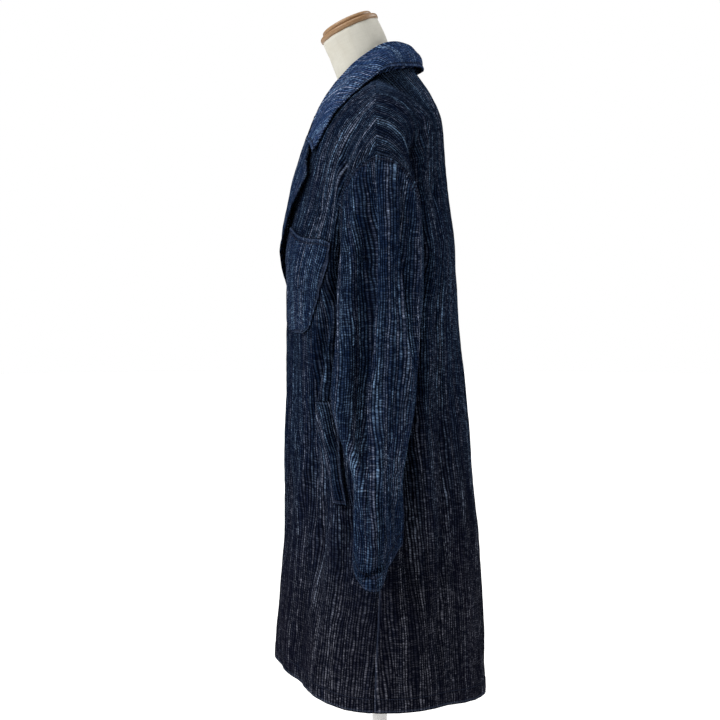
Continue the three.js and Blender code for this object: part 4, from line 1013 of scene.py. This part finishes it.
def sleeve(side, seed):
    rows, cols = 172, 150
    v, r = np.meshgrid(np.linspace(0, 1, rows + 1), np.arange(cols) / cols, indexing="ij")
    p = sleeve_point(r, v)
    p = soften(p, 6, bell((v - CAP_SHARE) / 0.06)[..., None])
    z = p[..., 2]
    # large folds pull towards the middle of the sleeve
    pull = folds(SLEEVE_FOLDS, r, z, True) * ease(0, 0.25, v)
    centre = vec(258 + 0 * z, -8 + 0 * z, z)
    p = p + unit(centre - p) * pull[..., None]
    n = normals(p, -1, True)
    deep = valleys(SLEEVE_VALLEYS, r if side > 0 else r + 0.008 * np.sin(z / 80), z, True)
    wrap = np.concatenate([p, p[:, :1]], 1)
    u = arc(wrap, 1)
    u = u - u[:, cols // 2: cols // 2 + 1]
    bent = p - n * deep[..., None]
    bent = arc(np.concatenate([bent, bent[:, :1]], 1), 1)
    warp_u = 0.4 * u + 0.6 * (bent - bent[:, cols // 2: cols // 2 + 1])
    run = arc(wrap, 0)
    k = int(round(CAP_SHARE * rows))
    up = run[k:k + 1] - run
    hem = run[-1:] - run
    z = p[..., 2]
    a, h, w = run[:, :-1], hem[:, :-1], u[:, :-1]
    d = -0.7 * creases(SLEEVE_CREASES[2:] if side > 0 else SLEEVE_CREASES_RIGHT[2:], r, z, True) - deep
    d += crinkle(w, up[:, :-1], seed) * 1.15
    # elbow: short bundles of creases that run round the sleeve
    for r0, z0, tilt, wide, deep in ((0.60, 772, 90, 0.07, 2.2), (0.58, 758, 70, 0.06, -1.6), (0.615, 744, 100, 0.06, 2.0), (0.40, 690, -110, 0.07, 1.8), (0.43, 668, -60, 0.08, -1.5), (0.55, 700, 60, 0.08, 1.8), (0.50, 655, -50, 0.07, 1.5)):
        d -= deep * bell((r - r0) / wide) * bell((z - z0 - tilt * (r - r0)) / 6.5)
    # the tip of the cuff is pinched into a small fan of creases
    x, y = (r - 0.535) * 250, z - 612
    fan = ease(4, 16, -y + 0.2 * np.abs(x)) * bell(x / 46) * (y < 6)
    d += 2.3 * np.sin(9 * np.arctan2(x, 14 - y)) * fan
    d -= 7.0 * bell(x / 6.5) * bell((y - 2) / 7.5)
    # the front of the hem turns up, and the cloth behind it is drawn in
    d -= 9.0 * bell((h - 25 - 5 * np.sin(r * 40)) / 4.6) * ease(0.40, 0.44, r) * (1 - ease(0.51, 0.55, r))
    d += 3.5 * bell((h - 13) / 7) * ease(0.38, 0.43, r) * (1 - ease(0.50, 0.56, r))
    d -= 6.0 * bell((r - 0.555 + (z - 640) * 0.0006) / 0.016) * ease(600, 625, z) * (1 - ease(655, 700, z))
    # the chest keeps the front of the sleeve back
    d -= 6.0 * bell((r - 0.27) / 0.10) * ease(880, 990, z) * (1 - ease(1110, 1180, z))
    d *= ease(0, 16, a)
    d += 2.6 * bell((a - 4.0) / 2.8) - 3.0 * bell((a - 11.5) / 3.8)
    d -= 0.6 * bell((h - 20) / 1.8) - 0.6 * ease(20, 15, h) * (0.8 + noise(w / 8, h / 20, seed + 7))
    # its top edge is sewn in under the shoulder
    tuck = bell(a / 2.4)
    q = p + n * (2.0 + d - 2.4 * tuck)[..., None] + vec(-0.8 * tuck, 0 * tuck, 1.2 * tuck)
    if side < 0:
        q = mirror(q)
    warp = np.stack([warp_u, up], -1)
    edge = np.stack([run, hem], -1)
    ob = cloth("coat_sleeve_" + ("left" if side > 0 else "right"), q, 1.8, warp, edge, -side, True)
    return ob


# ------------------------------------------------------------------ collar and lapels
def collar_path(a):
    """The nine points across the collar, for places a (0 centre back to 1 its end)."""
    s, f, e = (point(COLLAR, "along", a, (c + "x", c + "y", c + "z")) for c in "sfe")
    tip = ease(0.8, 1, a)[..., None]
    out = unit((e - s) * [1, 1, 0])
    fold = 5 * (1 - 0.45 * tip)
    it, ot = f - out * fold - [0, 0, 6], f + out * fold - [0, 0, 5]
    bow = (ot + e) / 2 + out * 4 + [0, 0, 4]
    m = lambda p, q, k: p + (q - p) * k
    return np.stack([s, m(s, it, 0.5), it, f, ot, m(ot, bow, 0.6), bow, m(bow, e, 0.55), e])


def spline(path, k):
    """A smooth curve through path (points along axis 0), at place k from 0 to 1 for each column."""
    n = len(path) - 1
    x = np.clip(k * n, 0, n)
    i = np.minimum(x.astype(int), n - 1)
    t = (x - i)[..., None]
    c = np.arange(path.shape[1])[None]
    g = lambda j: path[np.clip(j, 0, n), c]
    a, b, e, f = g(i - 1), g(i), g(i + 1), g(i + 2)
    a = np.where((i == 0)[..., None], 2 * b - e, a)
    f = np.where((i == n - 1)[..., None], 2 * e - b, f)
    return 0.5 * (2 * b + (e - a) * t + (2 * a - 5 * b + 4 * e - f) * t * t + (3 * b - a - 3 * e + f) * t ** 3)


def collar():
    rows, cols = 46, 190
    across, c = np.meshgrid(np.linspace(0, 1, rows + 1), np.linspace(-1, 1, cols + 1), indexing="ij")
    p = spline(collar_path(np.abs(c[0])), across)
    p[..., 0] *= np.where(c < 0, -1, 1)
    p = soften(p, 2.5, 0.8 * bell(c / 0.1)[..., None], axis=1)
    n = normals(p, 1)
    u, run = arc(p, 1), arc(p, 0)
    u = u - u[:, cols // 2: cols // 2 + 1]
    edge = run[-1:] - run
    ends = np.minimum(u - u[:, :1], u[:, -1:] - u)
    fall = ease(0.38, 0.5, across)
    d = crinkle(u, run, 51) * (0.4 + 0.6 * fall)
    # the fall waves a little along its edge, and its edge is thick and rolled
    d += fall * ease(60, 8, edge) * (1.9 * np.sin(c * 8.3 + 0.6) + 1.1 * np.sin(c * 17.0 + 2.0))
    d += 1.1 * bell((edge - 2.5) / 2.6) - 0.7 * bell((edge - 7) / 1.9)
    d += (0.9 * bell((ends - 2.5) / 2.6) - 0.6 * bell((ends - 7) / 1.9)) * fall
    for c0, w, k in ((0.3, 0.05, 1.7), (-0.27, 0.05, 1.6), (0.52, 0.045, 1.6), (-0.55, 0.05, 1.5), (0.72, 0.04, 1.3), (0.05, 0.06, 1.3)):
        d -= k * bell((c - c0 + 0.05 * across) / w) * ease(0.35, 0.55, across) * (1 - ease(0.75, 0.95, across))
    # the stand reaches down past the neckline it is sewn to
    q = p + n * (2.3 + d)[..., None] - vec(0 * d, 0 * d, 4.0 * bell(across / 0.03))
    even = np.broadcast_to(u[26:].mean(0), u.shape)
    # towards its ends the threads slant back across the fall
    slant = np.sign(c) * ease(0.03, 0.32, np.abs(c))
    down = run - run[20:21]
    return cloth("coat_collar", q, 2.3, np.stack([even + 1.0 * slant * down, -run * (1 - 0.45 * np.abs(slant))], -1), np.stack([ends + 300 * (1 - fall), edge], -1), 1)


def lapel(side, seed):
    rows, cols = 76, 34
    along, across = np.meshgrid(np.linspace(0, 1, rows + 1), np.linspace(0, 1, cols + 1), indexing="ij")
    fold = read(LAPEL, "along", "fold", along)
    f = point(FRONT_EDGE, "z", fold)
    e = point(LAPEL, "along", along, ("ex", "ey", "ez"))
    bow = read(LAPEL, "along", "bow", along)
    h = np.sin(np.pi * np.sqrt(across)) * bow
    p = f + (e - f) * across[..., None] - vec(0.3 * h, h + DOUBLE + 0.6, 0 * h)
    # the gorge: the top of the lapel meets the end of the collar, up to the notch
    end = spline(np.repeat(collar_path(np.array([1.0])), cols + 1, 1), (3 + 5 * across[:1]) / 8)
    lift = (end - p[:1]) * (1 - ease(0.60, 0.84, across[:1]))[..., None]
    p = p + lift * ((1 - ease(0, 0.16, along)) ** 1.5)[..., None]
    p = layer(p, -OVER if side > 0 else UNDER)
    if side < 0:
        p[..., 1] += (0.3 - 1.7 * ease(0.75, 0.95, along) + 5 * across * (1 - ease(0.8, 0.97, along))) * ease(0.5, 0.72, along)
    # the fold: a small roll back to the edge of the front under it
    ang = np.linspace(-np.pi / 2, np.pi / 2, 6)[:-1]
    roll = p[:, :1] + vec(-2.4 * np.cos(ang), 1.5 - 1.5 * np.sin(ang), 0 * ang)[None]
    p = np.concatenate([roll, p], 1)
    n = normals(p, -1)
    u, run = arc(p, 1), arc(p, 0)
    away = u[:, -1:] - u
    flat = np.concatenate([np.zeros((rows + 1, 5)), across], 1)
    d = crinkle(u, run, seed) * ease(0, 0.2, flat)
    d += (1.1 * bell((away - 2.5) / 2.6) - 0.7 * bell((away - 7) / 1.9)) * ease(8, 20, u)
    d += (1.0 * bell((run - 2.5) / 2.6) - 0.6 * bell((run - 7) / 1.9)) * ease(0.5, 0.7, flat)
    d += 1.5 * np.sin(run / 31 + side) * ease(0.3, 1, flat) * (1 - ease(150, 190, run))
    q = p + n * (2.2 + d)[..., None]
    if side < 0:
        q = mirror(q)
    warp = np.stack([u, -run], -1)
    edge = np.stack([run + 300 * (1 - ease(0.5, 0.6, flat)), away], -1)
    return cloth("coat_lapel_" + ("left" if side > 0 else "right"), q, 2.2, warp, edge, -side)


# ------------------------------------------------------------------ pockets
def laid(name, surface, table, rows, cols, lift, thick, side, detail=None, dip=0.0, shift=((0, 1), (0, 0), (0, 0))):
    t, up = grid(rows, cols)
    k = up - dip * up * np.sin(np.pi * t) ** 2
    # the cloth gives a little: the edges lie slightly beside their places on the flat pattern
    left = read(table, "up", "left", k) + np.interp(k, shift[0], shift[1])
    right = read(table, "up", "right", k) + np.interp(k, shift[0], shift[2])
    base, n = surface.at(left + (right - left) * t, read(table, "up", "v", k))
    p = base + n * lift(t, up)[..., None]
    u, run = arc(p, 1), arc(p, 0)
    u = u - u[:, cols // 2: cols // 2 + 1] + 60
    sides = np.minimum(u - u[:, :1], u[:, -1:] - u)
    mouth = run[-1:] - run
    if detail is not None:
        p = p + n * detail(t, up, u, run, sides, mouth)[..., None]
    return cloth(name, p, thick, np.stack([u, run + 520], -1), np.stack([np.minimum(sides, run + 0.01), mouth], -1), side)


def pocket_detail(t, up, u, run, sides, mouth):
    d = 0.5 * crinkle(u, run, 61)
    low = np.minimum(sides, run)
    d += 0.7 * bell((low - 2.4) / 2.0) - 0.8 * bell((low - 5.2) / 1.6) - 1.5 * bell(low / 1.2)
    d += 1.2 * bell((mouth - 2.2) / 2.2) - 0.7 * bell((mouth - 8) / 1.8)
    # a short stitched slit for a pen, below the mouth
    d -= 1.5 * bell((mouth - 44) / 1.2) * (1 - ease(0.1, 0.13, np.abs(t - 0.62)))
    d += 0.7 * bell((mouth - 41.4) / 1.3) * (1 - ease(0.1, 0.13, np.abs(t - 0.62)))
    # the bag sags a little
    return d + 2.2 * np.sin(np.pi * t) ** 2 * ease(0.15, 0.5, up) * (1 - ease(0.6, 1, up)) - 1.4 * bell((t - 0.4) / 0.06) * ease(0.2, 0.9, up)


def welt_detail(t, up, u, run, sides, mouth):
    d = 0.5 * crinkle(u, run, 71)
    low = np.minimum(mouth, run)
    d += 0.7 * bell((low - 2.2) / 2.0) - 0.7 * bell((low - 5) / 1.6)
    return d + 0.9 * bell((t - 0.93) / 0.07) - 0.6 * bell((t - 0.72) / 0.07)


# ------------------------------------------------------------------ the dress form
def loft(name, rings, uv, edge):
    """Closed rings joined into one solid, with a fan at each end. uv and edge have one more column."""
    n, m = rings.shape[:2]
    ends = np.stack([rings[0].mean(0), rings[-1].mean(0)])
    verts = np.concatenate([rings.reshape(-1, 3), ends])
    I, J = np.meshgrid(np.arange(n - 1), np.arange(m), indexing="ij")
    I, J = I.ravel(), J.ravel()
    K = (J + 1) % m
    q = np.stack([I * m + J, I * m + K, (I + 1) * m + K, (I + 1) * m + J], 1)
    j = np.arange(m)
    k = (j + 1) % m
    none = -1 + 0 * j
    q = np.concatenate([q, np.stack([k, j, n * m + 0 * j, none], 1), np.stack([(n - 1) * m + j, (n - 1) * m + k, n * m + 1 + 0 * j, none], 1)])
    maps = {}
    for key, g in (("warp", uv), ("edge", edge)):
        a = np.zeros((len(q), 4, 2))
        a[: len(I)] = np.stack([g[I, J], g[I, J + 1], g[I + 1, J + 1], g[I + 1, J]], 1)
        a[len(I):] = 20.0
        maps[key] = a
    return mesh_of(name, verts, q, maps)


def dress_form():
    rows, sides = 190, 128
    at = FORM[0]["z"] + (FORM[-1]["z"] - FORM[0]["z"]) * np.linspace(0, 1, rows + 1)
    a = 2 * np.pi * np.arange(sides) / sides
    r = {c: read(FORM, "z", c, at)[:, None] for c in ("y", "half", "front", "back", "tilt")}
    tilt = np.radians(r["tilt"])
    s = np.sin(a)[None]
    # sewn panels: shallow grooves at the seams, and at the neck a few soft ripples
    seams = np.radians([42, 90, 138, 180, 222, 270, 318, 360])
    gap = np.min(np.abs((a[:, None] - seams[None] + np.pi) % (2 * np.pi) - np.pi), 1)[None]
    mean = (r["half"] + (r["front"] + r["back"]) / 2) / 2
    away = gap * mean
    neck = ease(1345, 1385, at)[:, None]
    k = 1 - (1.1 * bell(away / 2.2) * (1 - neck) + 0.35 * noise(a[None] * 5, at[:, None] / 9, 81) * neck + 0.25 * np.sin(a * 13 + 1)[None] * neck) / mean
    q = np.where(s < 0, r["front"], r["back"]) * s * k
    rings = vec(r["half"] * np.cos(a)[None] * k, r["y"] + q * np.cos(tilt), at[:, None] + q * np.sin(tilt))
    wide = np.concatenate([a, [2 * np.pi]])[None] * 90
    uv = np.stack(np.broadcast_arrays(wide, at[:, None]), -1)
    gap1 = np.concatenate([away + 30 * neck, (away + 30 * neck)[:, :1]], 1)
    edge = np.stack([gap1, gap1 * 0 + 99], -1)
    low = rings[0]
    centre = low.mean(0)
    first = [centre + (low - centre) * f + [0, 0, dz] for f, dz in ((0.6, -1.5), (0.9, -1.2), (0.975, -0.4))]
    rings = np.concatenate([np.stack(first), rings])
    return loft("form_body", rings, np.concatenate([uv[:3], uv]), np.concatenate([edge[:3], edge]))


def disc(d, z0, z1, r, n=7):
    a = np.linspace(0, np.pi / 2, n)
    low = [(d / 2 - r + r * math.sin(x), z0 + r - r * math.cos(x)) for x in a]
    high = [(d / 2 - r + r * math.cos(x), z1 - r + r * math.sin(x)) for x in a]
    return [(0, z0), (d / 4, z0)] + low + high + [(d / 4, z1), (0, z1)]


# ------------------------------------------------------------------ make it all
def finish_piece(ob, mat, node):
    ob.data.materials.append(mat)
    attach(ob, "root")
    if node:
        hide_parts(node)
    return ob


# the light and dark gains give each piece a brighter or darker copy of the cloth, painted light brightest on the
# top-lit collar and lapels
m_front = kasuri("kasuri_front", 1.0, (60, 480), 1.0, 0.5, 0.85, (), (21,), (6, 44), 0.9, 1.05, painted_top_light=(925, 1000))
m_front_r = kasuri("kasuri_front_right", 2.0, (60, 480), 1.0, 0.5, 0.85, (), (21,), (6,), 0.9, 1.05, painted_top_light=(925, 1000))
m_back = kasuri("kasuri_back", 3.0, (120, 620), 1.0, 0.6, 0.95, (), (21,), (), 0.95, 0.85, painted_top_light=(950, 1035))
m_sleeve = kasuri("kasuri_sleeve", 4.0, (-900, -600), 0.95, 0.6, 0.85, ((24, 82, 0.6), (-195, -135, 0.9)), (20,), (6.5,), 1.1, 1.2)
m_sleeve_r = kasuri("kasuri_sleeve_right", 5.0, (-900, -600), 0.95, 0.6, 0.85, ((10, 70, 0.6), (-180, -120, 0.9)), (20,), (6.5,), 1.1, 1.2)
m_collar = kasuri("kasuri_collar", 6.0, (-900, -700), 1.3, 0.35, 0.85, (), (6.5,), (6.5,), 1.9, 2.6, 0.5)
m_lapel = kasuri("kasuri_lapel", 7.0, (-900, -700), 1.2, 0.4, 0.85, (), (6.5,), (6.5,), 1.35, 1.7, 0.5)
m_pocket = kasuri("kasuri_pocket", 8.0, (-900, -700), 1.0, 0.7, 0.85, (), (8,), (5,), 1.12, 1.6, 0.6)
m_welt = kasuri("kasuri_welt", 9.0, (-900, -700), 1.4, 0.3, 1.2, (), (), (5,), 1.0, 0.9, 0.5)
m_canvas = canvas("form_canvas_weave")
m_wood = wood("cap_wood_dark", (0.22, 0.115, 0.05), (0.36, 0.22, 0.11))
m_wood2 = wood("cap_wood_pale", (0.24, 0.125, 0.056), (0.385, 0.24, 0.12), 3.0)
m_paint = painted("base_powder")

left, left_surface = front(1, 11)
right, right_surface = front(-1, 21)
finish_piece(left, m_front, "front_left")
finish_piece(right, m_front_r, "front_right")
coat_back = finish_piece(back(31), m_back, "back")
sleeve_l = finish_piece(sleeve(1, 41), m_sleeve, "sleeve_left")
sleeve_r = finish_piece(sleeve(-1, 46), m_sleeve_r, "sleeve_right")
coat_collar = finish_piece(collar(), m_collar, "collar")
lapel_l = finish_piece(lapel(1, 56), m_lapel, "lapel_left")
lapel_r = finish_piece(lapel(-1, 58), m_lapel, "lapel_right")
pocket = finish_piece(laid(
    "coat_chest_pocket", left_surface, CHEST_POCKET, 62, 52,
    lambda t, v: 2.9 + 1.2 * v * np.sin(np.pi * t), 2.4, 1, pocket_detail, 0.05,
    ((0, 0.16, 0.38, 0.62, 0.82, 1), (0, 0, 0, 0, 0, 0), (0, 0.006, 0.016, 0.014, -0.004, -0.022))), m_pocket, "chest_pocket")
welts = [finish_piece(laid(
    "coat_welt_" + name, s, WELT, 44, 14,
    lambda t, v: 2.3 + WELT_LIFT * ease(0.1, 1, t), 2.2, side, welt_detail, 0.0,
    ((0, 1), (0.015, 0.004), (0.026, 0.026))), m_welt, "welt_" + name)
    for name, s, side in (("left", left_surface, 1), ("right", right_surface, -1))]

form = finish_piece(dress_form(), m_canvas, "form_torso")
tilt = math.radians(25)
cap_place = (np.array([[1, 0, 0], [0, math.cos(tilt), -math.sin(tilt)], [0, math.sin(tilt), math.cos(tilt)]]), np.array([0, -49.0, 1443.0]))
finish_piece(turned("cap_lower_disc", disc(102, 0.1, 9.1, 3.4), 128, cap_place), m_wood, "cap_lower")
finish_piece(turned("cap_upper_disc", disc(87, 9.1, 17, 3.6), 128, cap_place), m_wood2, "cap_upper")
finish_piece(turned("stand_stem", [(0, 18.1), (11.6, 18.1), (12.4, 18.9), (12.5, 20)] + [(12.5, 20 + 60 * k) for k in range(1, 10)] + [(12.5, 620), (0, 620)], 72), m_paint, "stem")
finish_piece(turned("stand_base", [(0, 0), (174, 0), (178, 0.6), (179.6, 2), (180, 4), (180, 12), (179.4, 14.6), (177.6, 16.6), (174.5, 17.7), (170, 18), (60, 18), (26, 18), (0, 18)], 160), m_paint, "base")

# ------------------------------------------------------------------ what was cut
FLATS = {
    "coat_front_left": (0.36, 0.99), "coat_front_right": (0.36, 0.99), "coat_back": (0.66, 1.04),
    "coat_sleeve_left": (0.33, 0.60), "coat_sleeve_right": (0.33, 0.60), "coat_collar": (0.52, 0.115),
    "coat_lapel_left": (0.085, 0.23), "coat_lapel_right": (0.085, 0.23), "coat_chest_pocket": (0.14, 0.19),
    "coat_welt_left": (0.04, 0.155), "coat_welt_right": (0.04, 0.155),
}
for name, flat in FLATS.items():
    0.165 if "sleeve" in name else None

# ------------------------------------------------------------------ floor, light, camera
bpy.ops.mesh.primitive_circle_add(vertices=96, radius=14, fill_type="NGON", location=(0, 0, -0.0005))
floor = bpy.context.object
floor.name = "studio_floor"
g = Nodes("floor_white")

p = g.add("ShaderNodeBsdfPrincipled", {"Base Color": (0.93, 0.93, 0.93, 1), "Roughness": 0.8})
p.inputs["Emission Color"].default_value = (1, 1, 1, 1)
p.inputs["Emission Strength"].default_value = 0.22
g.nt.links.new(p.outputs[0], g.add("ShaderNodeOutputMaterial").inputs[0])
floor.data.materials.append(g.mat)

scene = bpy.context.scene
world = bpy.data.worlds.new("studio")
scene.world = world
world.use_nodes = True
wn = world.node_tree
wn.nodes.clear()
bg = wn.nodes.new("ShaderNodeBackground")
bg.inputs[0].default_value = (1, 1, 1, 1)
bg.inputs[1].default_value = 0.15
seen = wn.nodes.new("ShaderNodeBackground")
seen.inputs[0].default_value = (1, 1, 1, 1)
seen.inputs[1].default_value = 1.0
path = wn.nodes.new("ShaderNodeLightPath")
pick = wn.nodes.new("ShaderNodeMixShader")
out = wn.nodes.new("ShaderNodeOutputWorld")
wn.links.new(path.outputs["Is Camera Ray"], pick.inputs[0])
wn.links.new(bg.outputs[0], pick.inputs[1])
wn.links.new(seen.outputs[0], pick.inputs[2])
wn.links.new(pick.outputs[0], out.inputs[0])
scene.view_settings.view_transform = "Standard"


def sun(name, direction, strength, angle):
    d = bpy.data.lights.new(name, "SUN")
    d.energy, d.angle = strength, math.radians(angle)
    o = bpy.data.objects.new(name, d)
    scene.collection.objects.link(o)
    from mathutils import Vector
    o.rotation_euler = Vector(direction).to_track_quat("Z", "Y").to_euler()


sun("key", (0.36, -0.85, 0.74), 2.45, 18)
sun("rear", (-0.42, 0.92, 0.50), 1.35, 22)
sun("top", (0.24, -0.12, 1.0), 1.5, 24)
sun("side", (1.0, -0.55, 0.6), 0.33, 26)

cam = bpy.data.cameras.new("camera")
cam.lens, cam.sensor_width = 64.5, 36
camera = bpy.data.objects.new("camera", cam)
scene.collection.objects.link(camera)
camera.location = (2.150, -0.0333, 1.019)
camera.rotation_euler = (math.pi / 2 - math.atan(70 / 1290), 0, math.pi / 2)
scene.camera = camera
